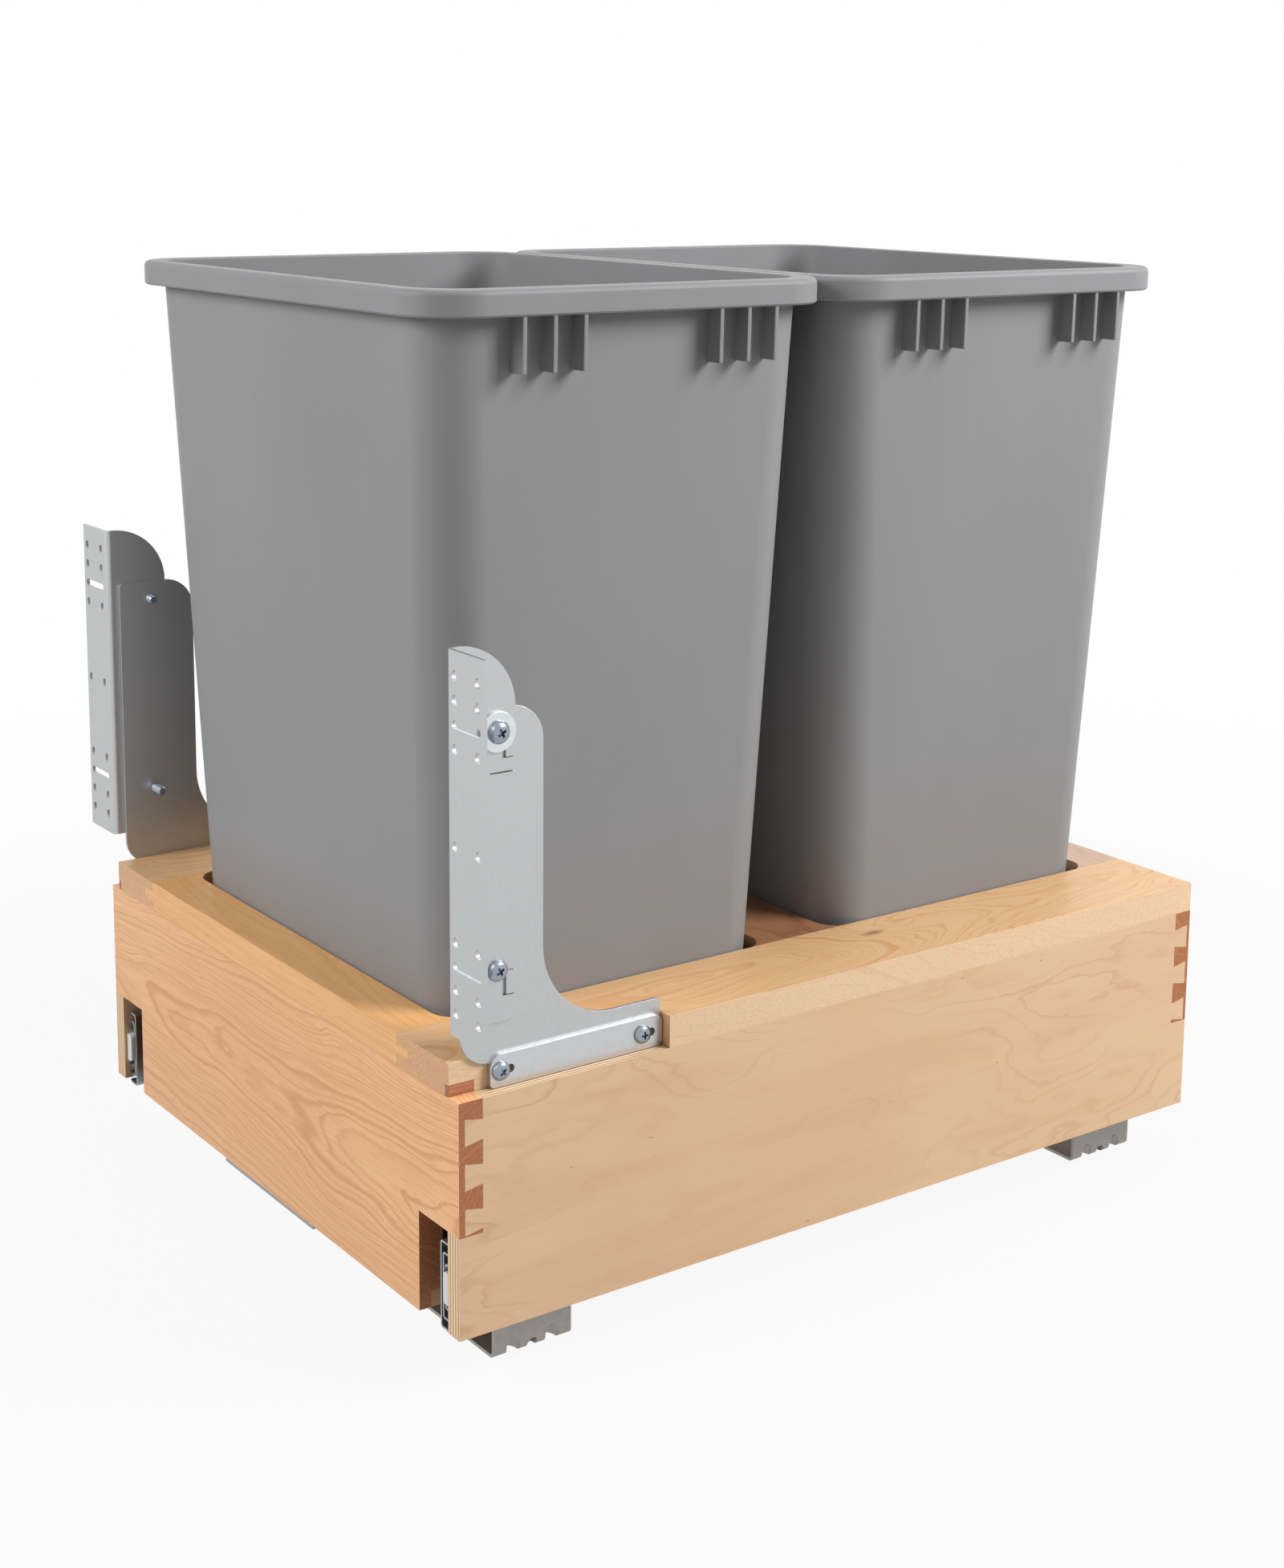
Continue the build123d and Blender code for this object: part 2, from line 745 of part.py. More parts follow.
def clamp_plate():
    """Plate that the screws press on the arm's foot."""
    z0 = clamp_z - box_z
    outline = outline_box(clamp_front, foot_rear, z0, z0 + clamp_height)
    outline = fillet(corner(outline, True, False), clamp_front_radius)
    outline = fillet(corner(outline, True, True), clamp_rear_radius)
    outline = fillet(corner(outline, False, False), clamp_low_radius)
    outline = fillet(corner(outline, False, True), clamp_low_radius)
    plate = side_plate(outline, clamp_x, plate_steel)
    for y in clamp_screw_places():
        plate -= adjusting_slot(clamp_x, clamp_x + plate_steel, y, clamp_screw_z)
    return plate


def flange_cuts():
    """Round and slotted holes through the flange that the door is screwed to."""
    x_far = leg_x + flange_width - door_hole_edge
    columns = (x_far - door_hole_spread, x_far)
    z_middle = box_z + flange_bottom + flange_height / 2
    y0, y1 = y_front - flange_lead - overrun, y_front + overrun
    cuts = []
    for row in (-7, -6, -4, 0, 4, 6, 7):
        z = z_middle + row * door_hole_pitch
        cuts += [rod_y(door_hole_diameter / 2, x, y0, y1, z) for x in columns]
    half = door_slot_width / 2
    reach = door_slot_length / 2 - half
    x = sum(columns) / 2
    for row in (-5, 5):
        z = z_middle + row * door_hole_pitch
        slot = block(x - reach, x + reach, y0, y1, z - half, z + half)
        cuts.append(slot + rod_y(half, x - reach, y0, y1, z) + rod_y(half, x + reach, y0, y1, z))
    return cuts


def leg_cuts():
    """Pivot hole, tilt slot, pad notches and relief slit of the door plate's leg."""
    x0, x1 = leg_x - plate_gap, leg_x + plate_steel + overrun
    hole = pivot_screw_diameter / 2 + pivot_play
    reach = tilt_slot_length / 2 - hole
    slot = block(x0, x1, pivot_y - reach, pivot_y + reach, tilt_z - hole, tilt_z + hole)
    slot += rod_x(hole, x0, x1, pivot_y - reach, tilt_z) + rod_x(hole, x0, x1, pivot_y + reach, tilt_z)
    cuts = [rod_x(hole, x0, x1, pivot_y, pivot_z), slot]
    for z in (pivot_z, tilt_z):
        z0 = z - notch_drop
        cuts.append(block(x0, x1, y_front + notch_front, y_front + leg_rear + overrun, z0, z0 + notch_height))
    z = pivot_z - slit_drop
    y = y_front + leg_rear
    cuts.append(block(x0, x1, y - slit_length, y + overrun, z - slit_width / 2, z + slit_width / 2))
    return cuts


def door_plate():
    """Angle plate that carries the cabinet door: a leg on the arm and a flange behind the door."""
    x_leg = leg_x + plate_steel / 2
    y_fold = y_front - flange_lead + plate_steel / 2
    points = [(x_leg, y_front + leg_rear), (x_leg, y_fold), (leg_x + flange_width, y_fold)]
    angle = trace(FilletPolyline(*points, radius=flange_bend), plate_steel)
    plate = Pos(0, 0, box_z + flange_bottom) * extrude(angle, flange_height)
    outline = outline_box(-flange_lead, leg_rear, flange_bottom, flange_bottom + flange_height)
    outline = fillet(corner(outline, True, True), leg_top_radius)
    plate &= side_plate(outline, leg_x - overrun, flange_width + 2 * overrun)
    for cut in flange_cuts() + leg_cuts():
        plate -= cut
    return plate


def clamp_screws():
    """Wood screws through the slots of a clamp plate into the side rail."""
    screw = pan_headed(wood_screw_diameter, wood_screw_length + seat_gap, wood_screw_head, wood_screw_head_height)
    x = clamp_x + plate_steel + seat_gap
    return [facing(screw, x, y, clamp_screw_z, (1, 0, 0)) for y in clamp_screw_places()]


def pivot_washer():
    """Wide washer between the pivot screw's head and the door plate."""
    x = leg_x + plate_steel + plate_gap
    ring = rod_x(washer_diameter / 2, x, x + washer_thickness, pivot_y, pivot_z)
    return ring - rod_x(pivot_screw_diameter / 2, x, x + washer_thickness, pivot_y, pivot_z)


def pivot_screw():
    """Screw that the door plate turns on, threaded into the arm."""
    x = leg_x + plate_steel + plate_gap + washer_thickness
    screw = pan_headed(pivot_screw_diameter, pivot_screw_length, pivot_screw_head, pivot_screw_head_height)
    return facing(screw, x, pivot_y, pivot_z, (1, 0, 0))


def tilt_screw():
    """Screw through the door plate's slot that locks its tilt, with its end free inside."""
    x = leg_x + plate_steel + plate_gap
    screw = pan_headed(tilt_screw_diameter, tilt_screw_length, tilt_screw_head, tilt_screw_head_height)
    return facing(screw, x, pivot_y, tilt_z, (1, 0, 0))


def both_sides(name, shape, nodes):
    """Enter a right-hand piece and its mirror image."""
    nodes["right_" + name] = shape
    nodes["left_" + name] = to_left(shape)


def box_nodes(nodes):
    """The wooden box and its fixings."""
    both_sides("side_panel", side_panel(), nodes)
    panels = (nodes["right_side_panel"], nodes["left_side_panel"])
    nodes["front_board"] = end_board(y_front, 1, front_thickness, panels)
    nodes["rear_board"] = end_board(y_rear, -1, rear_thickness, panels)
    nodes["bottom_panel"] = bottom_panel()
    screws = [Pos(x, y, box_z) * countersunk(bottom_screw_length) for x, y in all_bottom_places()]
    nodes["bottom_screws"] = group(screws)
    nodes["front_tie_plate"] = tie_plate()
    screws = [Pos(x, y, box_z - tie_steel) * countersunk(tie_screw_length) for x, y in tie_screw_places()]
    nodes["tie_plate_screws"] = group(screws)


def frame_nodes(nodes):
    """The frame on top of the box."""
    for name, rail in zip(("front_rail", "centre_rail", "rear_rail"), cross_rails()):
        nodes[name] = rail
    both_sides("side_rail", side_rail(), nodes)
    plug = plug_space(plug_gap)
    nodes["corner_plugs"] = group([plug, to_left(plug)])


def slide_nodes(nodes):
    """Both telescopic slides and their fixings."""
    both_sides("cabinet_rail", cabinet_rail(), nodes)
    both_sides("middle_rail", middle_rail(), nodes)
    both_sides("drawer_rail", drawer_rail(), nodes)
    both_sides("outer_cage", ball_cage(outer_cage_x, outer_ball_x, outer_ball_z), nodes)
    both_sides("outer_balls", ball_set(outer_ball_x, outer_ball_z), nodes)
    both_sides("inner_cage", ball_cage(inner_cage_x, inner_ball_x, inner_ball_z), nodes)
    both_sides("inner_balls", ball_set(inner_ball_x, inner_ball_z), nodes)
    bumper = rail_bumper()
    nodes["rail_bumpers"] = group([bumper, to_left(bumper)])
    screws = rail_screws()
    nodes["drawer_rail_screws"] = group(screws + [to_left(screw) for screw in screws])
    rivets = rail_rivets()
    nodes["cabinet_rail_rivets"] = group(rivets + [to_left(rivet) for rivet in rivets])
    nodes["front_floor_bracket"] = floor_bracket(front_bracket_y)
    nodes["rear_floor_bracket"] = floor_bracket(rear_bracket_y)


def door_nodes(nodes):
    """Both door brackets and their screws."""
    both_sides("arm_plate", arm_plate(), nodes)
    both_sides("clamp_plate", clamp_plate(), nodes)
    both_sides("door_plate", door_plate(), nodes)
    both_sides("pivot_screw", pivot_screw(), nodes)
    both_sides("pivot_washer", pivot_washer(), nodes)
    both_sides("tilt_screw", tilt_screw(), nodes)
    screws = clamp_screws()
    nodes["clamp_screws"] = group(screws + [to_left(screw) for screw in screws])


def bin_nodes(nodes):
    """The two bins, standing on the bottom panel."""
    shell = waste_bin()
    for name, y in zip(("front_bin", "rear_bin"), bin_centres):
        nodes[name] = Pos(0, y, bin_z) * shell


def build():
    """All pieces by name."""
    nodes = {}
    box_nodes(nodes)
    frame_nodes(nodes)
    slide_nodes(nodes)
    door_nodes(nodes)
    bin_nodes(nodes)
    return nodes


os.makedirs("parts", exist_ok=True)
for node, shape in build().items():
    export_step(shape, f"parts/{node}.step")
    print(node, len(shape.solids()), round(shape.volume / 1000, 2), "cm3")
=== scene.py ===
# %% [markdown]
# # A pull-out frame with two waste bins
#
# The real object is a dovetailed wooden box on two telescopic slides. It carries
# two grey bins, and two steel brackets hold the cabinet door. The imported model
# already has every piece at its true size and place. This lesson dresses those
# pieces: it rounds the edges that catch light, moulds the bins and screws in more
# detail, and gives wood, steel and plastic their own surfaces.

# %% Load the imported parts
import json
import math

import bmesh
import bpy
from mathutils import Matrix, Vector

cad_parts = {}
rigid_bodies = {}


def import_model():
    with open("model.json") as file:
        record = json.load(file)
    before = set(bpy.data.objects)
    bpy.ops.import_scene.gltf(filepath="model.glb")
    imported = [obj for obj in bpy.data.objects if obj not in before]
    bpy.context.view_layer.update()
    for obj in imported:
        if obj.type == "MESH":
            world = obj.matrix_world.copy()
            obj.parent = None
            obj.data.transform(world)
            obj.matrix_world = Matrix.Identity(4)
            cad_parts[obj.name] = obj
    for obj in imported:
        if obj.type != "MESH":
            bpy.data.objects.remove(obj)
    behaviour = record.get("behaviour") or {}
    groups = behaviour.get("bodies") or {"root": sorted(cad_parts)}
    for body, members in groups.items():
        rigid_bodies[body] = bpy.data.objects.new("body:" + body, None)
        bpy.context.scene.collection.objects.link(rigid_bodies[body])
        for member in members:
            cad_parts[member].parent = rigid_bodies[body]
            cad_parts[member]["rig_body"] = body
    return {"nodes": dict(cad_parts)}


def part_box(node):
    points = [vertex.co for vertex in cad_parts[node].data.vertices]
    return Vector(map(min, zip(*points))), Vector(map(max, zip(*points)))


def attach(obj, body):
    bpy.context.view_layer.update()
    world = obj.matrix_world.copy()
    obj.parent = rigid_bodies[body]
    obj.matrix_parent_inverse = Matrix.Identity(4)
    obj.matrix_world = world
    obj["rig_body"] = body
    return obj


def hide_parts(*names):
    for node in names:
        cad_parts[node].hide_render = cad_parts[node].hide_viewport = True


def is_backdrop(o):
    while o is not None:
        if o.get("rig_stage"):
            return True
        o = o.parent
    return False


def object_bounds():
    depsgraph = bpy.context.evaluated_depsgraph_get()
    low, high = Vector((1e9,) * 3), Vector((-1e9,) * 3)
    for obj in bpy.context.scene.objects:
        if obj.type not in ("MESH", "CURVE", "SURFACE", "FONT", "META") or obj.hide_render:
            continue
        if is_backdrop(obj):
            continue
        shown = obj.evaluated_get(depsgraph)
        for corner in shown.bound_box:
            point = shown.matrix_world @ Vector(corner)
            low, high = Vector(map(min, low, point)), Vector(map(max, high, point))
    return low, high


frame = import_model()
cad_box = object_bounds()
millimetre = 0.001

# %% [markdown]
# ## The camera
#
# The photograph looks down a little at the front right corner. Its upright edges
# stay almost upright although the camera stands above the bins, which a lens
# shifted downwards explains. The camera gets the same place, turn and shift, so
# that the render can be laid over the photograph.

# %% Camera at the photograph's viewpoint
scene = bpy.context.scene
camera_place = Vector((1.2389, -0.89645, 0.6704))
camera_turn = math.radians(54.264)
camera_tilt = math.radians(90 - 9.764)
camera_roll = math.radians(0.5)

camera = bpy.data.objects.new("camera", bpy.data.cameras.new("camera"))
scene.collection.objects.link(camera)
scene.camera = camera
camera.data.lens = 54.155
camera.data.sensor_width = 36.0
camera.data.shift_y = -0.15
camera.matrix_world = (
    Matrix.Translation(camera_place)
    @ Matrix.Rotation(camera_turn, 4, "Z")
    @ Matrix.Rotation(camera_tilt, 4, "X")
    @ Matrix.Rotation(camera_roll, 4, "Z"))
scene.view_settings.view_transform = "Standard"
print("camera stands", round(camera_place.length, 2), "m away")

# %% [markdown]
# ## Writing shaders as sums
#
# A material is a tree of nodes. Written link by link it is hard to read, so one
# small class wraps a node's output and lets Python's own signs add Math nodes:
# `1 - mask` becomes a Subtract node. A second class adds every other kind of node
# with a single method.

# %% A socket that can be used in sums
class Value:
    """One output of a node tree that can be used in Python sums."""

    def __init__(self, nodes, output):
        self.nodes = nodes
        self.output = output

    def maths(self, operation, first, second=0.0):
        return self.nodes.add("ShaderNodeMath", {"operation": operation}, {0: first, 1: second})

    def __add__(self, other):
        return self.maths("ADD", self, other)

    def __sub__(self, other):
        return self.maths("SUBTRACT", self, other)

    def __rsub__(self, other):
        return self.maths("SUBTRACT", other, self)

    def __mul__(self, other):
        return self.maths("MULTIPLY", self, other)

    def __truediv__(self, other):
        return self.maths("DIVIDE", self, other)

    def __pow__(self, other):
        return self.maths("POWER", self, other)

    def __abs__(self):
        return self.maths("ABSOLUTE", self)

    def fraction(self):
        return self.maths("FRACT", self)

    def largest(self, other):
        return self.maths("MAXIMUM", self, other)

    __radd__ = __add__
    __rmul__ = __mul__


# %% A node tree with one method that adds nodes
class Nodes:
    """A node tree, and one method that adds any node and feeds its sockets."""

    def __init__(self, tree):
        self.tree = tree

    def add(self, kind, settings=None, sockets=None, output=0):
        node = self.tree.nodes.new(kind)
        for name, value in (settings or {}).items():
            setattr(node, name, value)
        for name, value in (sockets or {}).items():
            self.feed(node.inputs[name], value)
        return Value(self, node.outputs[output])

    def feed(self, socket, value):
        if isinstance(value, Value):
            self.tree.links.new(value.output, socket)
        else:
            socket.default_value = value


# %% [markdown]
# ## The studio
#
# The photograph has a pure white ground with only a faint shadow. One large lamp
# stands in front, a stronger one to the right and a weak one behind, and the bins'
# rounded corners between the first two stay a little darker. With a faint, even
# sky they light the object to about its written colours. What the camera sees of
# the sky is white. The floor mixes its lit surface with plain white for the camera
# alone, a little more with the distance, so it goes white without more light on
# the object and still keeps the shadow. It lies half a millimetre under the part,
# because two faces in one plane would flicker.

# %% Sky
sky = bpy.data.worlds.new("studio_sky")
scene.world = sky
sky.use_nodes = True
sky_nodes = Nodes(sky.node_tree)
sky_background = sky.node_tree.nodes["Background"]
sky_light = 0.2


def seen_directly(nodes):
    """1 for rays from the camera or a mirror-like surface, 0 for the rest of the light."""
    rays = [nodes.add("ShaderNodeLightPath", output=name)
            for name in ("Is Camera Ray", "Is Glossy Ray", "Is Transmission Ray")]
    return rays[0].largest(rays[1]).largest(rays[2])


sky_strength = seen_directly(sky_nodes) * (1 - sky_light) + sky_light
sky_nodes.feed(sky_background.inputs["Strength"], sky_strength)
sky_nodes.feed(sky_background.inputs["Color"], (1.0, 1.0, 1.0, 1.0))
print("sky lights the object at", sky_light)

# %% Floor
floor_size = 14.0
floor_gap = 0.0005
floor_mesh = bpy.data.meshes.new("floor")
floor_form = bmesh.new()
bmesh.ops.create_grid(floor_form, x_segments=1, y_segments=1, size=floor_size / 2,
                      matrix=Matrix.Translation((0.0, 0.0, -floor_gap)))
floor_form.to_mesh(floor_mesh)
floor_form.free()
floor = bpy.data.objects.new("floor", floor_mesh)
scene.collection.objects.link(floor)
floor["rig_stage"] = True
print("floor:", floor_size, "m wide")

# %% The floor goes white with the distance
floor_grey = 0.5
white_near, white_far = 0.92, 1.0
whitening_starts, whitening_ends = 0.45, 1.5

floor_material = bpy.data.materials.new("studio_floor")
floor_material.use_nodes = True
floor_nodes = Nodes(floor_material.node_tree)
floor_lit = floor_material.node_tree.nodes["Principled BSDF"]
floor_lit.inputs["Base Color"].default_value = (floor_grey, floor_grey, floor_grey, 1.0)
floor_lit.inputs["Roughness"].default_value = 0.9
floor_lit.inputs["Specular IOR Level"].default_value = 0.0
floor_white = floor_nodes.add("ShaderNodeEmission", None, {"Strength": 1.0}, "Emission")
floor_place = floor_nodes.add("ShaderNodeTexCoord", output="Object")
floor_reach = floor_nodes.add(
    "ShaderNodeVectorMath", {"operation": "LENGTH"}, {0: floor_place}, "Value")
whitening = floor_nodes.add("ShaderNodeMapRange", {"interpolation_type": "SMOOTHSTEP"}, {
    "Value": floor_reach, "From Min": whitening_starts, "From Max": whitening_ends,
    "To Min": white_near, "To Max": white_far})
floor_mix = floor_nodes.add("ShaderNodeMixShader", None, {
    0: seen_directly(floor_nodes) * whitening,
    1: Value(floor_nodes, floor_lit.outputs["BSDF"]),
    2: floor_white})
floor_output = floor_material.node_tree.nodes["Material Output"]
floor_nodes.feed(floor_output.inputs["Surface"], floor_mix)
floor_mesh.materials.append(floor_material)
print("floor is white from", whitening_ends, "m on")

# %% Lamps
object_middle = Vector((0.0, 0.0, 0.3))


def softbox(name, azimuth, elevation, distance, width, watts):
    """Square lamp that looks at the middle of the object.
    An azimuth of 0 is in front, and one of 90 on the right."""
    turn, rise = math.radians(azimuth), math.radians(elevation)
    level = math.cos(rise)
    away = Vector((math.sin(turn) * level, -math.cos(turn) * level, math.sin(rise)))
    lamp = bpy.data.objects.new(name, bpy.data.lights.new(name, "AREA"))
    lamp.data.size = width
    lamp.data.energy = watts
    lamp.location = object_middle + away * distance
    lamp.rotation_euler = away.to_track_quat("Z", "Y").to_euler()
    scene.collection.objects.link(lamp)


softbox("right_lamp", azimuth=130, elevation=35, distance=2.4, width=1.1, watts=58)
softbox("front_lamp", azimuth=-10, elevation=28, distance=2.4, width=1.1, watts=34)
softbox("rear_lamp", azimuth=235, elevation=55, distance=2.8, width=2.0, watts=11)
print("lamps:", len(bpy.data.lights))

# %% [markdown]
# ## Building surfaces
#
# Every finish starts from the same few steps: coordinates fixed to the object,
# stretched noise, a smooth step between two levels, a mix of two colours and a
# little relief. They go into one class. Colours are written as they look on a
# screen, from 0 to 255, and turned into the linear values a renderer works with.

# %% Colours as they look on a screen
def shade(red, green, blue):
    """Linear colour from screen values of 0 to 255, by the usual curve of a screen."""
    linear = [((c / 255 + 0.055) / 1.055) ** 2.4 for c in (red, green, blue)]
    return (*linear, 1.0)


print("a screen grey of 128 reflects", round(shade(128, 128, 128)[0], 3), "of the light")


# %% The steps that all finishes share
even = (1.0, 1.0, 1.0)
seed_path = (1.0, 0.7, 1.3)
lacquer_roughness = 0.25


class Finish(Nodes):
    """A material under construction on top of the standard surface shader."""

    def __init__(self, name, roughness, metallic=0.0, coat=0.0):
        self.material = bpy.data.materials.new(name)
        self.material.use_nodes = True
        super().__init__(self.material.node_tree)
        self.shader = self.tree.nodes["Principled BSDF"]
        self.shader.inputs["Roughness"].default_value = roughness
        self.shader.inputs["Metallic"].default_value = metallic
        self.shader.inputs["Coat Weight"].default_value = coat
        self.shader.inputs["Coat Roughness"].default_value = lacquer_roughness
        self.place = self.add("ShaderNodeTexCoord", output="Object")

    def axes(self):
        """The three coordinates, in metres, as separate values."""
        return [self.add("ShaderNodeSeparateXYZ", None, {0: self.place}, axis)
                for axis in range(3)]

    def facing(self, axis, low=0.6, high=0.8):
        """1 where the surface faces along an axis, 0 where it faces another way."""
        normal = self.add("ShaderNodeTexCoord", output="Normal")
        squareness = abs(self.add("ShaderNodeSeparateXYZ", None, {0: normal}, axis))
        return self.step(squareness, low, high)

    def noise(self, scale, detail, stretch, seed):
        """Noise that is finer along the axes that are stretched more. The seed moves it."""
        moved = self.add("ShaderNodeMapping", None, {
            "Vector": self.place, "Location": [seed * part for part in seed_path],
            "Scale": stretch})
        return self.add("ShaderNodeTexNoise", None, {
            "Vector": moved, "Scale": scale, "Detail": detail})

    def noise_line(self, value, seed):
        """Noise that depends on a single value."""
        return self.add("ShaderNodeTexNoise", {"noise_dimensions": "1D"}, {
            "W": value + seed, "Scale": 1.0, "Detail": 1.0})

    def step(self, value, low, high):
        """Smooth step from 0 at low to 1 at high."""
        return self.add("ShaderNodeMapRange", {"interpolation_type": "SMOOTHSTEP"}, {
            "Value": value, "From Min": low, "From Max": high})

    def blend(self, share, first, second):
        """Mix of two colours."""
        return self.add("ShaderNodeMix", {"data_type": "RGBA"}, {
            0: share, 6: first, 7: second}, 2)

    def tint(self, under, over, value, low, high, share):
        """A colour that is laid over another by some share where a value is high."""
        return self.blend(self.step(value, low, high) * share, under, over)

    def relief(self, height, depth, strength):
        return self.add("ShaderNodeBump", None, {
            "Height": height, "Distance": depth, "Strength": strength})

    def use(self, **values):
        """Feed the shader, with Base_Color for its Base Color socket."""
        for name, value in values.items():
            self.feed(self.shader.inputs[name.replace("_", " ")], value)
        return self.material


# %% [markdown]
# ## Wood
#
# A tree grows in rings, so a board's figure is found by asking, for each point of
# its surface, how far that point was from the tree's middle. The trunk tapers and
# wanders: the taper turns the rings into the pointed arches of a flat-sawn board,
# and a slow noise bends them. Each ring darkens smoothly and then stops at a sharp
# line. Short streaks along the grain are the pores. A picture of wood would stop at
# every edge, but rings worked out in space run on round the corner to the end
# grain. The same sum works for every board once it is told which way its grain
# runs and where the middle lay.

# %% Noise that is drawn out along the grain
along_x, along_y = 0, 1


def drawn_out(grain, across, along=1.0):
    """Stretch of a noise for the three axes, with longer waves along the grain."""
    stretch = [across] * 3
    stretch[grain] = along
    return stretch


print("scales of a noise drawn out along y:", drawn_out(along_y, across=3.0))


# %% How far a point was from the tree's middle
small_bends = 0.12


def tree_radius(finish, grain, middle, taper, wander, seed):
    """Distance in metres from the tree's middle. The grain is an axis number, and the
    middle is a place on the other two axes."""
    spots = finish.axes()
    across = [spots[axis] for axis in range(3) if axis != grain]
    radius = ((across[0] - middle[0]) ** 2 + (across[1] - middle[1]) ** 2) ** 0.5
    stretch = drawn_out(grain, across=3.2)
    slow = finish.noise(scale=4.5, detail=2.0, stretch=stretch, seed=seed)
    quick = finish.noise(scale=22.0, detail=3.0, stretch=stretch, seed=seed + 4)
    return radius + spots[grain] * taper + slow * wander + quick * (wander * small_bends)


# %% Rings, fibre and tone of one board
late_starts, late_full = 0.35, 0.88
uneven_pace, uneven_rings = 0.45, 2.2
strength_pace = 0.8
strength_least, strength_swing = 0.25, 1.3


def wood_figure(finish, radius, grain, ring_width, seed):
    """Share of late wood, of fine fibre and of slow tone at a point of a board."""
    years = radius / ring_width
    uneven = finish.noise_line(years * uneven_pace, seed)
    strength = finish.noise_line(years * strength_pace, seed + 20)
    ring = (years + uneven * uneven_rings).fraction()
    darkening = finish.step(ring, late_starts, late_full) ** 2
    sharp_end = 1 - finish.step(ring, late_full, 1.0)
    late = darkening * sharp_end * (strength * strength_swing + strength_least)
    fibre_stretch = drawn_out(grain, across=60.0, along=1.5)
    fibre = finish.noise(scale=14.0, detail=3.0, stretch=fibre_stretch, seed=seed + 1)
    tone = finish.noise(scale=5.0, detail=2.0, stretch=even, seed=seed + 3)
    return late, fibre, tone


# %% A lacquered board
pore_share = 0.35
end_late, end_speckle = 0.35, 0.35


def board(name, grain, middle, taper, wander, ring_width, colours, contrast, seed):
    """Lacquered wood. The colours are early wood, late wood and end grain."""
    early, late_colour, end_colour = colours
    finish = Finish(name, roughness=0.42, coat=0.12)
    radius = tree_radius(finish, grain, middle, taper, wander, seed)
    late, fibre, tone = wood_figure(finish, radius, grain, ring_width, seed)
    pore_stretch = drawn_out(grain, across=36.0, along=2.4)
    streaks = finish.noise(scale=26.0, detail=1.0, stretch=pore_stretch, seed=seed + 2)
    pores = finish.step(streaks, low=0.62, high=0.72)
    face = finish.blend(late * contrast, early, late_colour)
    face = finish.tint(face, late_colour, fibre, low=0.35, high=0.75, share=0.28)
    face = finish.blend(pores * pore_share, face, late_colour)
    face = finish.tint(face, late_colour, tone, low=0.3, high=0.8, share=0.25)
    grains = finish.noise(scale=900.0, detail=2.0, stretch=even, seed=seed + 5)
    speckle = finish.step(grains, low=0.4, high=0.7)
    end = finish.blend(late * end_late + speckle * end_speckle, end_colour, late_colour)
    on_end = finish.facing(grain)
    return finish.use(
        Base_Color=finish.blend(on_end, face, end),
        Roughness=0.36 + fibre * 0.14 + on_end * 0.15,
        Normal=finish.relief(fibre * 0.6 - pores * 0.5, depth=0.00025, strength=0.6))


print("wood is worked out from tree rings")

# %% [markdown]
# ## The boards of the box
#
# The front board is flat-sawn, with wide arches in a pinkish orange and dark end
# grain that shows between the dovetails. The frame on top is golden: its long
# rails show arches from above and straight, pale, speckled grain on their edges.

# %% Front and rear board
pink_birch = (shade(247, 192, 138), shade(208, 138, 84), shade(164, 100, 62))
front_low, front_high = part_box("front_board")
rear_low, rear_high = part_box("rear_board")
front_wood = board(
    "pink_birch_front", along_x, middle=(front_high.y + 0.022, 0.1), taper=-0.055,
    wander=0.042, ring_width=0.0034, colours=pink_birch, contrast=0.6, seed=3.0)
rear_wood = board(
    "pink_birch_rear", along_x, middle=(rear_low.y - 0.025, 0.09), taper=-0.06,
    wander=0.05, ring_width=0.0038, colours=pink_birch, contrast=0.55, seed=8.0)
print("boards:", front_wood.name, rear_wood.name)

# %% Cross rails and corner plugs
golden = (shade(244, 189, 124), shade(216, 148, 82), shade(206, 150, 100))
# The centre rail's brown is partly its darker wood and partly painted shade: it is darker for the shade that
# falls between the two bins.
brown = (shade(176, 126, 90), shade(134, 86, 56), shade(140, 90, 60))
rosy = (shade(217, 184, 158), shade(188, 146, 118), shade(170, 118, 86))
plug_colours = (shade(190, 128, 92), shade(150, 92, 62), shade(166, 104, 74))
rail_low, rail_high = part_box("right_side_rail")
under_rail = rail_low.z - 0.02
cross_wood = board(
    "golden_maple_cross", along_x, middle=(front_low.y - 0.01, under_rail), taper=0.03,
    wander=0.03, ring_width=0.0038, colours=golden, contrast=0.3, seed=12.0)
# The centre rail gets the brown of darker wood with painted shade, for the shade between the bins.
centre_wood_and_shade = board(
    "dark_maple", along_x, middle=(0.0, under_rail), taper=0.05,
    wander=0.03, ring_width=0.0042, colours=brown, contrast=0.5, seed=17.0)
back_rail_wood = board(
    "rosy_maple", along_x, middle=(rear_high.y, under_rail), taper=-0.05,
    wander=0.03, ring_width=0.0042, colours=rosy, contrast=0.45, seed=21.0)
plug_wood = board(
    "plug_wood", along_y, middle=(rail_high.x, under_rail), taper=0.02,
    wander=0.01, ring_width=0.0026, colours=plug_colours, contrast=0.6, seed=2.0)
print("rails and plugs:", cross_wood.name, centre_wood_and_shade.name, back_rail_wood.name, plug_wood.name)

# %% [markdown]
# ## Long rails with a knot
#
# On the photographed rail the rings flow round a small knot. Near the knot the
# tree's radius is pushed up, which bends every ring around it, and its eye is
# darkened. The outer edge of the rail is cut across the rings at a steep angle,
# so it gets its own finely speckled, paler look.

# %% Colours of a long rail and sizes of its knot
rail_gold = shade(236, 194, 145)
rail_late, rail_end_late = golden[1:]
knot_brown = shade(156, 96, 54)
edge_pale, edge_dark = shade(238, 206, 168), shade(212, 168, 126)
end_pale, end_dark = shade(222, 172, 124), shade(176, 122, 80)
knot_off_middle = 0.011
knot_flattened = 0.45
knot_reach = 0.034
knot_push = 0.014
eye_outside, eye_inside = 0.0078, 0.0022
eye_fray = 0.004


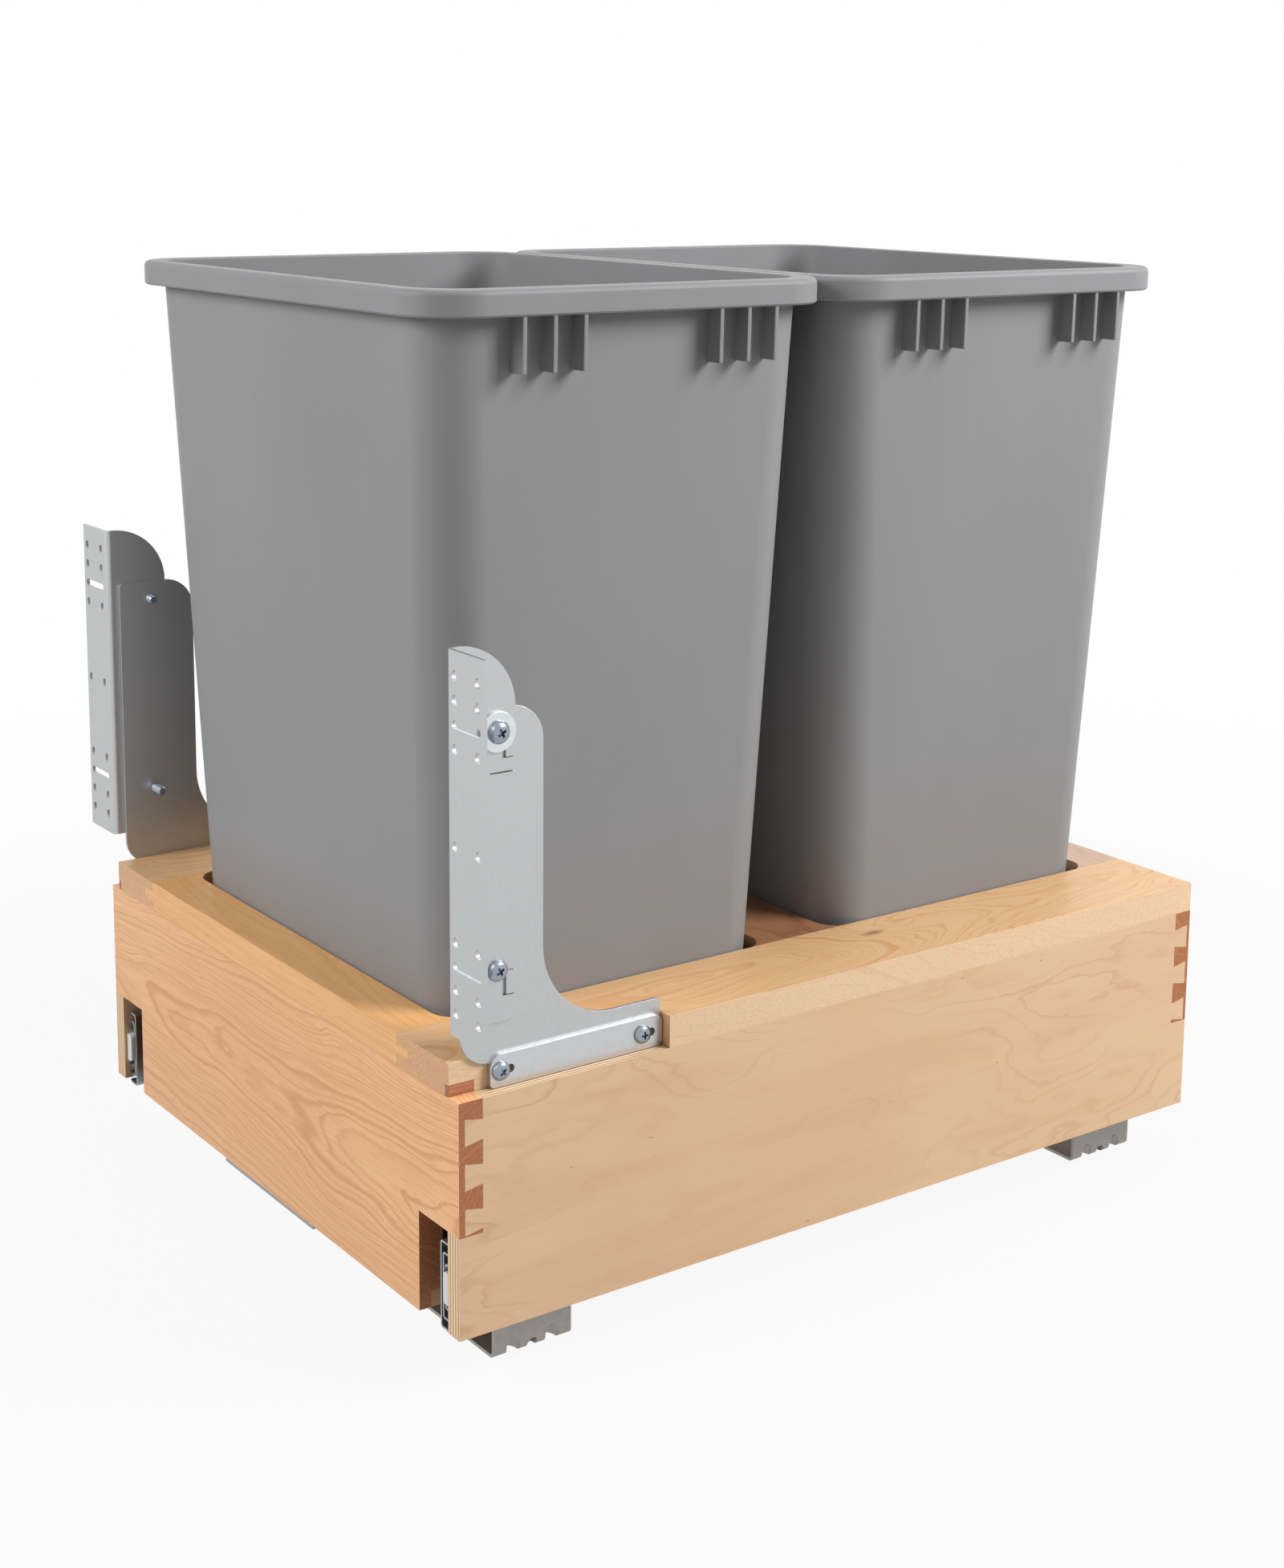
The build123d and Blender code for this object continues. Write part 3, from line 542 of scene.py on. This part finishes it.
# %% Long rail finish
def long_rail(name, side, knot_y, seed):
    """Golden rail along the box with a knot in its upper face."""
    finish = Finish(name, roughness=0.4, coat=0.12)
    x, y = finish.axes()[:2]
    middle_x = side * (rail_low.x + rail_high.x) / 2
    radius = tree_radius(finish, along_y, middle=(middle_x, rail_low.z - 0.012), taper=0.11,
                         wander=0.05, seed=seed)
    knot_x = middle_x - side * knot_off_middle
    distance = ((x - knot_x) ** 2 + ((y - knot_y) * knot_flattened) ** 2) ** 0.5
    near = finish.step(distance, knot_reach, 0.0)
    late, fibre, tone = wood_figure(finish, radius + near * knot_push, along_y,
                                    ring_width=0.0025, seed=seed)

    face = finish.blend(late * 0.55, rail_gold, rail_late)
    face = finish.tint(face, rail_late, fibre, low=0.35, high=0.75, share=0.16)
    face = finish.tint(face, rail_late, tone, low=0.3, high=0.8, share=0.15)
    streaks = finish.noise(scale=260.0, detail=2.0, stretch=(1.0, 0.25, 1.0), seed=seed + 8)
    eye = finish.step(distance + streaks * eye_fray, eye_outside, eye_inside)
    face = finish.blend(eye * 0.8, face, knot_brown)

    speckle = finish.noise(scale=1100.0, detail=2.0, stretch=(1.0, 0.35, 1.0), seed=seed)
    edge = finish.tint(edge_pale, edge_dark, speckle, low=0.35, high=0.75, share=0.34)
    edge = finish.blend(late * 0.15, edge, rail_late)
    on_edge = finish.facing(along_x)
    end = finish.tint(end_pale, end_dark, speckle, low=0.35, high=0.75, share=0.5)
    end = finish.blend(late * 0.4, end, rail_end_late)
    on_end = finish.facing(along_y)
    return finish.use(
        Base_Color=finish.blend(on_end, finish.blend(on_edge, face, edge), end),
        Roughness=0.34 + fibre * 0.14 + on_edge * 0.16,
        Normal=finish.relief(fibre * 0.5 + speckle * 0.3, depth=0.0002, strength=0.5))


right_rail_wood = long_rail("golden_maple_right", side=1, knot_y=0.043, seed=31.0)
left_rail_wood = long_rail("golden_maple_left", side=-1, knot_y=0.09, seed=37.0)
print("rails:", right_rail_wood.name, left_rail_wood.name)

# %% [markdown]
# ## Plywood sides
#
# The side panels are maple plywood. Their face is a thin pale veneer with soft,
# broad figure and a few short dark flecks. On every cut edge the plies show as
# light and dark layers through the thickness, so the finish asks how deep a point
# lies in the panel.

# %% Plies and colours of the side panels
ply_count = 9
side_low, side_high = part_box("right_side_panel")
ply_thickness = (side_high.x - side_low.x) / ply_count
veneer_pale, veneer_late = shade(231, 196, 157), shade(204, 152, 112)
veneer_rosy, veneer_band = shade(222, 178, 140), shade(214, 166, 128)
veneer_fibre, fleck_brown = shade(200, 156, 116), shade(160, 112, 76)
ply_pale, ply_dark, ply_fibre = shade(246, 219, 182), shade(184, 138, 96), shade(190, 144, 102)
figure_least, figure_swing = 0.05, 0.36
print("one ply is", round(ply_thickness / millimetre, 2), "mm thick")


# %% Plywood finish
def plywood(name, side, seed):
    """Maple plywood with a veneered face and layered edges."""
    finish = Finish(name, roughness=0.44, coat=0.1)
    radius = tree_radius(finish, along_y, middle=(side * side_low.x * 0.88, 0.075), taper=0.1,
                         wander=0.17, seed=seed)
    late, fibre, tone = wood_figure(finish, radius, along_y, ring_width=0.012, seed=seed)
    patches = finish.noise(scale=11.0, detail=1.0, stretch=(1.5, 0.6, 1.5), seed=seed + 7)
    shown = finish.step(patches, low=0.38, high=0.62)
    figure = late ** 1.5 * (shown * figure_swing + figure_least)
    veneer = finish.blend(figure, veneer_pale, veneer_late)
    veneer = finish.tint(veneer, veneer_rosy, tone, low=0.3, high=0.75, share=0.5)
    bands = finish.noise(scale=9.0, detail=4.0, stretch=(5.0, 0.7, 5.0), seed=seed + 9)
    veneer = finish.tint(veneer, veneer_band, bands, low=0.42, high=0.68, share=0.3)
    veneer = finish.tint(veneer, veneer_fibre, fibre, low=0.4, high=0.8, share=0.12)
    spots = finish.noise(scale=150.0, detail=1.0, stretch=(3.0, 0.7, 3.0), seed=seed + 6)
    flecks = finish.step(spots, low=0.79, high=0.82)
    veneer = finish.blend(flecks * 0.6, veneer, fleck_brown)

    x = finish.axes()[0]
    layer = (abs(x) - side_low.x) / (2 * ply_thickness)
    off_middle = abs(layer.fraction() - 0.5)
    edge = finish.tint(ply_pale, ply_dark, off_middle, low=0.22, high=0.28, share=0.8)
    edge = finish.tint(edge, ply_fibre, fibre, low=0.4, high=0.8, share=0.2)
    on_face = finish.facing(along_x)
    return finish.use(
        Base_Color=finish.blend(on_face, edge, veneer),
        Roughness=0.38 + fibre * 0.12 + (1 - on_face) * 0.2,
        Normal=finish.relief(fibre * 0.4 - flecks, depth=0.0002, strength=0.5))


right_ply = plywood("maple_ply_right", side=1, seed=51.0)
left_ply = plywood("maple_ply_left", side=-1, seed=57.0)
bottom_colours = (shade(222, 188, 150), shade(200, 156, 116), shade(190, 146, 104))
bottom_ply = board(
    "maple_ply_bottom", along_x, middle=(0.02, 0.0), taper=0.08,
    wander=0.08, ring_width=0.011, colours=bottom_colours, contrast=0.35, seed=61.0)
print("plywood:", right_ply.name, left_ply.name, bottom_ply.name)

# %% [markdown]
# ## Steel and zinc
#
# Zinc-plated sheet is a metal with a soft, cloudy shine: the crystals of the plate
# differ slightly in tone and roughness. With one even tone a flat plate would look
# like paper, so two noises darken it a little, a cloudy one and a fine one. The
# screws are bluer and smoother than the sheet.

# %% Zinc-plated sheet
metal_share = 0.9
grain_share = 0.16
cloud_darkness = 0.72


def zinc(name, colour, roughness, cloud_scale, cloud, seed):
    """Plated steel with cloudy tone and a fine grain."""
    finish = Finish(name, roughness, metallic=metal_share)
    clouds = finish.noise(cloud_scale, detail=3.0, stretch=even, seed=seed)
    grain = finish.noise(scale=1400.0, detail=1.0, stretch=even, seed=seed + 1)
    dark = tuple(c * cloud_darkness for c in colour[:3]) + (1.0,)
    cloudy = finish.step(clouds, low=0.35, high=0.7)
    grainy = finish.step(grain, low=0.3, high=0.7)
    darkened = cloudy * cloud + grainy * grain_share
    return finish.use(
        Base_Color=finish.blend(darkened, colour, dark),
        Roughness=roughness - 0.06 + clouds * 0.12,
        Normal=finish.relief(grain, depth=0.00003, strength=0.5))


# %% The steels of the brackets, slides and screws
bracket_steel = zinc("bracket_steel", shade(192, 193, 194), roughness=0.42,
                     cloud_scale=420.0, cloud=0.1, seed=1.0)
clamp_zinc = zinc("bright_zinc", shade(203, 205, 208), roughness=0.32,
                  cloud_scale=240.0, cloud=0.12, seed=2.0)
slide_zinc = zinc("slide_zinc", shade(164, 170, 174), roughness=0.22,
                  cloud_scale=240.0, cloud=0.12, seed=3.0)
floor_bracket_steel = zinc("floor_bracket_steel", shade(158, 153, 147), roughness=0.48,
                           cloud_scale=260.0, cloud=0.15, seed=4.0)
cage_steel = zinc("cage_steel", shade(150, 151, 155), roughness=0.4,
                  cloud_scale=100.0, cloud=0.2, seed=5.0)
screw_zinc = zinc("screw_zinc", shade(156, 165, 176), roughness=0.2,
                  cloud_scale=300.0, cloud=0.2, seed=6.0)
washer_zinc = zinc("washer_zinc", shade(222, 228, 230), roughness=0.22,
                   cloud_scale=200.0, cloud=0.15, seed=9.0)
ball_steel = zinc("ball_steel", shade(212, 214, 218), roughness=0.15,
                  cloud_scale=300.0, cloud=0.05, seed=7.0)
tie_steel = zinc("tie_plate_steel", shade(160, 161, 164), roughness=0.45,
                 cloud_scale=240.0, cloud=0.12, seed=8.0)
print("screws:", screw_zinc.name, "washers:", washer_zinc.name)

# %% [markdown]
# ## Plastic
#
# The bins are moulded in a matte grey plastic. Its tone drifts very slightly, as in
# most moulded walls, and the mould leaves a fine skin that breaks up the shine. The
# drift is a slow noise drawn out upwards, and the skin is relief alone.

# %% Plastic
def plastic(name, colour, darker, roughness, mottling):
    """Moulded plastic with a faintly mottled tone and a fine moulded skin."""
    finish = Finish(name, roughness)
    finish.shader.inputs["Specular IOR Level"].default_value = 0.35
    clouds = finish.noise(scale=9.0, detail=3.0, stretch=(1.0, 1.0, 0.35), seed=1.0)
    skin = finish.noise(scale=1500.0, detail=2.0, stretch=even, seed=2.0)
    return finish.use(
        Base_Color=finish.tint(colour, darker, clouds, low=0.3, high=0.75, share=mottling),
        Roughness=roughness - 0.04 + clouds * 0.08,
        Normal=finish.relief(skin, depth=0.00004, strength=0.6))


bin_plastic = plastic(
    "bin_plastic", shade(143, 143, 145), shade(134, 134, 135), roughness=0.5, mottling=0.5)
white_plastic = plastic(
    "white_plastic", shade(228, 228, 224), shade(216, 216, 212), roughness=0.38, mottling=0.4)
print("materials:", len(bpy.data.materials))

# %% [markdown]
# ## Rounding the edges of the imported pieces
#
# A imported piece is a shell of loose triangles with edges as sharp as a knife. Real
# boards are sanded and real sheet is tumbled, and the thin bright line along each
# edge is what makes them look solid. A copy of the mesh is welded, its flat
# triangles are joined into whole faces, and its sharp edges are bevelled. The
# shading is smooth over the bevel, and face-weighted normals keep the big faces
# flat.

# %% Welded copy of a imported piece
sharp = math.radians(35)
flat = math.radians(0.6)
weld_distance = 0.00002


def welded(node):
    """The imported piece's mesh as one welded form with whole flat faces."""
    form = bmesh.new()
    form.from_mesh(frame["nodes"][node].data)
    bmesh.ops.remove_doubles(form, verts=form.verts, dist=weld_distance)
    bmesh.ops.dissolve_limit(form, angle_limit=flat, verts=form.verts, edges=form.edges)
    return form


print("edges over", round(math.degrees(sharp)), "degrees count as sharp")


# %% Sharp edges, and how they are rounded
def sharp_edges(form):
    """Edges between two faces that meet at more than the sharp angle."""
    return [edge for edge in form.edges
            if len(edge.link_faces) == 2 and edge.calc_face_angle(0) > sharp]


def round_edges(form, edges, radius):
    """Bevel some edges in two steps."""
    bmesh.ops.bevel(form, geom=edges, offset=radius, offset_type="OFFSET", affect="EDGES",
                    segments=2, profile=0.5, material=-1, clamp_overlap=True)


# %% Finished object that rides with its body
def piece(name, form, material, body, stands_for, corner_limit=4):
    """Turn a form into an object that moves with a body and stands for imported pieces.
    A face with more corners than its limit is a whole flat side, and stays flat."""
    for face in form.faces:
        face.smooth = len(face.verts) <= corner_limit
    for edge in sharp_edges(form):
        edge.smooth = False
    mesh = bpy.data.meshes.new(name)
    form.to_mesh(mesh)
    form.free()
    if "custom_normal" in mesh.attributes:
        mesh.attributes.remove(mesh.attributes["custom_normal"])
    mesh.materials.clear()
    mesh.materials.append(material)
    made = bpy.data.objects.new(name, mesh)
    scene.collection.objects.link(made)
    weighted = made.modifiers.new("face weighted normals", "WEIGHTED_NORMAL")
    weighted.keep_sharp = True
    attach(made, body)
    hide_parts(*stands_for)


# %% [markdown]
# ## Dressing the pieces
#
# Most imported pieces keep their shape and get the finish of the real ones. A table
# from piece to finish keeps that to a few words a piece. The only other number is
# the rounding: half a millimetre on sanded wood, a quarter on sheet steel and small
# fittings, and none on the slides, whose folds are round already.


def dress(node, material, rounding=0.0):
    """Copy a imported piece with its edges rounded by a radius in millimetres."""
    form = welded(node)
    if rounding:
        round_edges(form, sharp_edges(form), rounding * millimetre)
    body = frame["nodes"][node]["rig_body"]
    piece(node + "_dressed", form, material, body, [node])


# %% Dress the wooden pieces
sanded = 0.5
wooden = {
    "front_board": front_wood, "rear_board": rear_wood, "bottom_panel": bottom_ply,
    "left_side_panel": left_ply, "right_side_panel": right_ply,
    "front_rail": cross_wood, "centre_rail": centre_wood_and_shade, "rear_rail": back_rail_wood,
    "left_side_rail": left_rail_wood, "right_side_rail": right_rail_wood,
    "corner_plugs": plug_wood,
}
for node, material in wooden.items():
    dress(node, material, sanded)
print("wooden pieces:", len(wooden))

# %% Dress the sheet steel
deburred = 0.25
steel = {
    "front_tie_plate": tie_steel,
    "front_floor_bracket": floor_bracket_steel, "rear_floor_bracket": floor_bracket_steel,
    "cabinet_rail_rivets": screw_zinc, "drawer_rail_screws": screw_zinc,
    "bottom_screws": screw_zinc, "tie_plate_screws": screw_zinc, "rail_bumpers": white_plastic,
}
for side in ("left", "right"):
    steel[side + "_arm_plate"] = bracket_steel
    steel[side + "_door_plate"] = bracket_steel
    steel[side + "_clamp_plate"] = clamp_zinc
    steel[side + "_pivot_washer"] = washer_zinc
for node, material in steel.items():
    dress(node, material, deburred)
print("steel pieces:", len(steel))

# %% Dress the slides, with smooth folds and no bevel
folded = {}
for side in ("left", "right"):
    for rail in ("cabinet_rail", "middle_rail", "drawer_rail"):
        folded[f"{side}_{rail}"] = slide_zinc
    for level in ("outer", "inner"):
        folded[f"{side}_{level}_cage"] = cage_steel
        folded[f"{side}_{level}_balls"] = ball_steel
for node, material in folded.items():
    dress(node, material)
print("slide pieces:", len(folded))

# %% [markdown]
# ## The bins
#
# A bin is moulded as one thin wall: a foot, sides that lean out, and a rim that
# turns over and down. It could be hollowed out of a block, but the wall would then
# have to be checked everywhere. One rounded rectangle is enough to start it. Its
# outline is extruded again and again, each time to the next half width, half depth,
# corner radius and height, up the outside, round the rim and down the inside, so
# the wall is as thick as written.

# %% Sizes of a bin
bin_low, bin_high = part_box("front_bin")
rim_x = (bin_high.x - bin_low.x) / 2
rim_y = (bin_high.y - bin_low.y) / 2
bin_tall = bin_high.z - bin_low.z
wall = 0.0024
floor_wall = 0.0032
rim_drop = 0.015
rim_corner = 0.036
body_corner = 0.030
rim_overhang = Vector((0.0132, 0.0101))
draft = Vector((math.tan(math.radians(2.48)), math.tan(math.radians(2.27))))
foot_round = 0.006
rim_round = 0.0035
lip_round = 0.0011
rim_under = bin_tall - rim_drop
inside_foot = floor_wall + foot_round
wall_steps = (0.18, 0.36)
corner_segments = 14


def body_size(height):
    """Half width and half depth of the bin's body at a height above its foot."""
    lean = (rim_under - height) * draft
    return Vector((rim_x, rim_y)) - rim_overhang - lean


print("bin:", round(2 * rim_x / millimetre), "by", round(2 * rim_y / millimetre), "by",
      round(bin_tall / millimetre), "mm")


# %% Extrude an outline to its next size
def quarters(points):
    """The points of an outline by the corner they belong to."""
    for side in (-1, 1):
        for end in (-1, 1):
            corner = [point for point in points if point.co.x * side > 0 and point.co.y * end > 0]
            yield side, end, corner


def next_outline(form, edges, old, new):
    """Extrude an outline from one size to another.
    A size is half width, half depth, corner radius and height."""
    made = bmesh.ops.extrude_edge_only(form, edges=edges)["geom"]
    points = [item for item in made if isinstance(item, bmesh.types.BMVert)]
    rise = new[3] - old[3]
    growth = new[2] / old[2]
    for side, end, corner in quarters(points):
        centre = Vector((side * (old[0] - old[2]), end * (old[1] - old[2]), 0.0))
        moved = Vector((side * (new[0] - new[2]), end * (new[1] - new[2]), rise))
        bmesh.ops.scale(form, vec=(growth, growth, 1.0), space=Matrix.Translation(-centre),
                        verts=corner)
        bmesh.ops.translate(form, vec=moved - centre, verts=corner)
    fresh = set(points)
    lines = [item for item in made if isinstance(item, bmesh.types.BMEdge)]
    return [line for line in lines if fresh.issuperset(line.verts)]


# %% Steps round a corner of the wall
def rounded_step(steps):
    """Sine and rest of the cosine at even steps of a quarter turn."""
    for i in range(1, steps + 1):
        angle = math.pi / 2 * i / steps
        yield math.sin(angle), 1 - math.cos(angle)


print("a corner in 3 steps:", [round(share, 2) for share, _ in rounded_step(3)])


# %% The sizes that the outline passes through
def bin_outlines():
    """Half width, half depth, corner radius and height of each outline, round the wall."""
    sizes = []

    def pass_through(x, y, corner, height, inset=0.0):
        sizes.append((x - inset, y - inset, corner - inset, height))

    foot = body_size(foot_round)
    pass_through(*foot, body_corner, 0.0, foot_round)
    for out, up in rounded_step(4):
        pass_through(*foot, body_corner, foot_round * up, foot_round * (1 - out))
    under = bin_tall - wall
    for height in (*wall_steps, under):
        pass_through(*body_size(height), body_corner, height)
    pass_through(rim_x, rim_y, rim_corner, under, wall)
    pass_through(rim_x, rim_y, rim_corner, rim_under + lip_round, wall)
    pass_through(rim_x, rim_y, rim_corner, rim_under, wall / 2)
    pass_through(rim_x, rim_y, rim_corner, rim_under + lip_round)
    pass_through(rim_x, rim_y, rim_corner, bin_tall - rim_round)
    for up, back in rounded_step(5):
        pass_through(rim_x, rim_y, rim_corner, bin_tall - rim_round * (1 - up), rim_round * back)
    for back, down in rounded_step(3):
        out = lip_round * (1 - back)
        pass_through(*body_size(bin_tall), body_corner, bin_tall - lip_round * down, wall - out)
    for height in (*reversed(wall_steps), inside_foot):
        pass_through(*body_size(height), body_corner, height, wall)
    for down, back in rounded_step(3):
        pass_through(*body_size(inside_foot), body_corner, floor_wall + foot_round * (1 - down),
                     wall + foot_round * back)
    return sizes


print("outlines of a bin:", len(bin_outlines()))

# %% [markdown]
# ## Ribs under the rim
#
# Two groups of three short ribs join the wall to the rim on each side of a bin.
# Each is a cube stretched to a thin plate. Its inner top corners are moved out with
# the leaning wall, its lower outer ones are moved in, and the edges there are
# rounded. Its inner side is sunk into the wall, as in a moulding.

# %% Ribs under the rim
rib_thick = 0.0028
rib_pitch = 0.0196
rib_drop = 0.031
rib_lean = 0.001
rib_round = 0.0007
rib_head = wall * 1.2
rib_groups = (-0.0595, 0.0720)


def add_rib(form, side, y):
    """Upright rib between the body and the turned-down rim."""
    low, high = rim_under - rib_drop, bin_tall - rib_head
    root = body_size(low).x - wall / 2
    edge = rim_x - wall / 2
    middle = (edge + root) / 2
    rib = bmesh.ops.create_cube(form, size=1.0)["verts"]
    bmesh.ops.scale(form, vec=(edge - root, rib_thick, high - low), verts=rib)
    bmesh.ops.translate(form, vec=(side * middle, y, (high + low) / 2), verts=rib)
    foot = [point for point in rib
            if point.co.z < rim_under and point.co.x * side > middle]
    bmesh.ops.translate(form, vec=(-side * rib_lean, 0, 0), verts=foot)
    head = [point for point in rib
            if point.co.z > rim_under and point.co.x * side < middle]
    bmesh.ops.translate(
        form, vec=(side * (body_size(high).x - body_size(low).x), 0, 0), verts=head)
    lines = dict.fromkeys(line for point in foot for line in point.link_edges)
    round_edges(form, list(lines), rib_round)


print("ribs reach", round(rib_drop / millimetre), "mm below the rim")


# %% Mould a bin
def mould_bin(node):
    """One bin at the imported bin's place, on the body of the same name."""
    form = bmesh.new()
    sizes = bin_outlines()
    half_width, half_depth, corner = sizes[0][:3]
    base = bmesh.ops.create_grid(form, x_segments=1, y_segments=1, size=1.0)["verts"]
    bmesh.ops.scale(form, vec=(half_width, half_depth, 1.0), verts=base)
    bmesh.ops.bevel(form, geom=form.verts[:], offset=corner, offset_type="OFFSET",
                    affect="VERTICES", segments=corner_segments, profile=0.5, material=-1,
                    clamp_overlap=False)
    outline = form.edges[:]
    for old, new in zip(sizes, sizes[1:]):
        outline = next_outline(form, outline, old, new)
    bmesh.ops.contextual_create(form, geom=outline)
    bmesh.ops.recalc_face_normals(form, faces=form.faces)
    for side in (-1, 1):
        for group in rib_groups:
            for place in (-1, 0, 1):
                add_rib(form, side, group + place * rib_pitch)
    low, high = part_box(node)
    bmesh.ops.translate(form, vec=(0.0, (low.y + high.y) / 2, low.z), verts=form.verts)
    print(node, "faces:", len(form.faces))
    piece(node + "_moulded", form, bin_plastic, node, [node])


mould_bin("front_bin")
mould_bin("rear_bin")

# %% [markdown]
# ## Screws
#
# The visible screws have domed pan heads with a cross recess. A head is half an
# outline spun about its axis, and the shank carries rings that read as thread where
# it comes through the arm.

# %% Spin a domed head and its shank
dome = ((0.0, 1.0), (0.35, 0.98), (0.66, 0.86), (0.86, 0.62), (0.97, 0.34), (1.0, 0.16),
        (0.98, 0.0))
thread_depth = 0.0004
spin_steps = 36


def spun_screw(head, crown, shank, length, pitch):
    """Screw about its own Z axis, with its head above zero and its shank below.
    The dome's points are shares of the head's radius and of the crown's height."""
    outline = [(head / 2 * out, crown * up) for out, up in dome] + [(shank / 2, 0.0)]
    root = shank / 2 - thread_depth
    for i in range(int(length / pitch) - 1):
        top = -pitch * (i + 0.5)
        outline += [(root, top), (shank / 2, top - pitch / 2)]
    outline += [(root, -length + pitch / 2), (root - thread_depth, -length), (0.0, -length)]
    form = bmesh.new()
    points = [form.verts.new((x, 0.0, z)) for x, z in outline]
    lines = [form.edges.new(pair) for pair in zip(points, points[1:])]
    bmesh.ops.spin(form, geom=points + lines, cent=(0, 0, 0), axis=(0, 0, 1),
                   angle=2 * math.pi, steps=spin_steps, use_merge=True)
    bmesh.ops.remove_doubles(form, verts=form.verts, dist=weld_distance / 4)
    bmesh.ops.recalc_face_normals(form, faces=form.faces)
    return form


print("a head is spun in", spin_steps, "steps")

# %% [markdown]
# ## The cross in a head
#
# The recess narrows as it goes down, so the driver wedges in it. Two crossed bars
# with smaller undersides have that shape, and a boolean takes them out of the head.
# Extruding the cross from the dome's own faces would need faces that fit it. A
# boolean works on objects, so the blank and the bars are objects for a short time.

# %% Object for a short time
def as_object(name, form):
    """Object that holds a form while a boolean works on it, because a modifier needs one."""
    mesh = bpy.data.meshes.new(name)
    form.to_mesh(mesh)
    form.free()
    made = bpy.data.objects.new(name, mesh)
    scene.collection.objects.link(made)
    return made


# %% A bar that cuts half of the cross
bar_length, bar_width, bar_height = 0.62, 0.15, 1.5
bar_taper = (0.42, 0.6, 1.0)
bar_rise = 1.05


def cutter_bar(head, crown, turn):
    """Tapered bar across a screw head. Its sizes are shares of the head and its crown."""
    form = bmesh.new()
    bar = bmesh.ops.create_cube(form, size=1.0)["verts"]
    bmesh.ops.scale(
        form, vec=(head * bar_length, head * bar_width, crown * bar_height), verts=bar)
    low = [point for point in bar if point.co.z < 0]
    bmesh.ops.scale(form, vec=bar_taper, verts=low)
    bmesh.ops.translate(form, vec=(0, 0, crown * bar_rise), verts=bar)
    bmesh.ops.rotate(form, cent=(0, 0, 0), matrix=Matrix.Rotation(turn, 3, "Z"), verts=bar)
    return as_object("cutter", form)


# %% Cut the cross recess
def with_recess(form, head, crown, turn):
    """The screw's form with a cross cut into its head."""
    blank = as_object("blank", form)
    cutters = [cutter_bar(head, crown, turn), cutter_bar(head, crown, turn + math.pi / 2)]
    for cutter in cutters:
        cut = blank.modifiers.new("recess", "BOOLEAN")
        cut.operation = "DIFFERENCE"
        cut.solver = "EXACT"
        cut.object = cutter
    depsgraph = bpy.context.evaluated_depsgraph_get()
    result = bmesh.new()
    result.from_mesh(blank.evaluated_get(depsgraph).to_mesh())
    for spare in [blank, *cutters]:
        bpy.data.objects.remove(spare)
    return result


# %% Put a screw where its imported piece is
first_turn, next_turn = 0.5, 0.9
screw_corner_limit = 40


def place_screw(name, spots, sizes, body, stands_for):
    """Screws at several spots. A spot is the seat's centre and the side it faces."""
    head, crown, shank, length, pitch = (size * millimetre for size in sizes.values())
    gathered = bmesh.new()
    for i, (spot, side) in enumerate(spots):
        blank = spun_screw(head, crown, shank, length, pitch)
        form = with_recess(blank, head, crown, first_turn + i * next_turn)
        upright = Matrix.Rotation(side * math.pi / 2, 4, "Y")
        bmesh.ops.transform(form, matrix=Matrix.Translation(spot) @ upright, verts=form.verts)
        mesh = bpy.data.meshes.new("screw")
        form.to_mesh(mesh)
        form.free()
        gathered.from_mesh(mesh)
        bpy.data.meshes.remove(mesh)
    piece(name, gathered, screw_zinc, body, stands_for, screw_corner_limit)


def seat(node, crown, side):
    """Centre of the surface under a screw's head."""
    low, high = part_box(node)
    outside = high.x if side > 0 else low.x
    return Vector((outside - side * crown * millimetre, (low.y + high.y) / 2,
                   (low.z + high.z) / 2))


# %% Pivot and tilt screws, with their sizes in millimetres
pivot_sizes = {"head": 13.0, "crown": 3.8, "shank": 6.0, "length": 11.5, "pitch": 1.0}
tilt_sizes = {"head": 12.0, "crown": 3.4, "shank": 6.0, "length": 16.0, "pitch": 1.0}
for label, side in (("left", -1), ("right", 1)):
    for kind, sizes in (("pivot", pivot_sizes), ("tilt", tilt_sizes)):
        node = f"{label}_{kind}_screw"
        spot = seat(node, sizes["crown"], side)
        place_screw(node + "_cut", [(spot, side)], sizes, label + "_arm", [node])
        print(node, "has a head of", sizes["head"], "mm")

# %% Clamp screws
clamp_sizes = {"head": 11.0, "crown": 3.0, "shank": 4.0, "length": 14.1, "pitch": 1.8}
clamp_low, clamp_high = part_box("clamp_screws")
head_radius = clamp_sizes["head"] / 2 * millimetre
clamp_spots = []
for side in (-1, 1):
    x = side * (clamp_high.x - clamp_sizes["crown"] * millimetre)
    for y in (clamp_low.y + head_radius, clamp_high.y - head_radius):
        clamp_spots.append((Vector((x, y, (clamp_low.z + clamp_high.z) / 2)), side))
place_screw("clamp_screws_cut", clamp_spots, clamp_sizes, "carriage", ["clamp_screws"])
print("clamp screws:", len(clamp_spots))

# %% [markdown]
# ## Checking the size
#
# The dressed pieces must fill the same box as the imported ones. Both boxes are
# written down, and the last line hands the scene over.

# %% Size and finish
sizes = {"cad": [list(corner) for corner in cad_box], "visual": [list(corner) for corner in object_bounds()]}
print("visual box:", [[round(c, 4) for c in corner] for corner in sizes["visual"]])
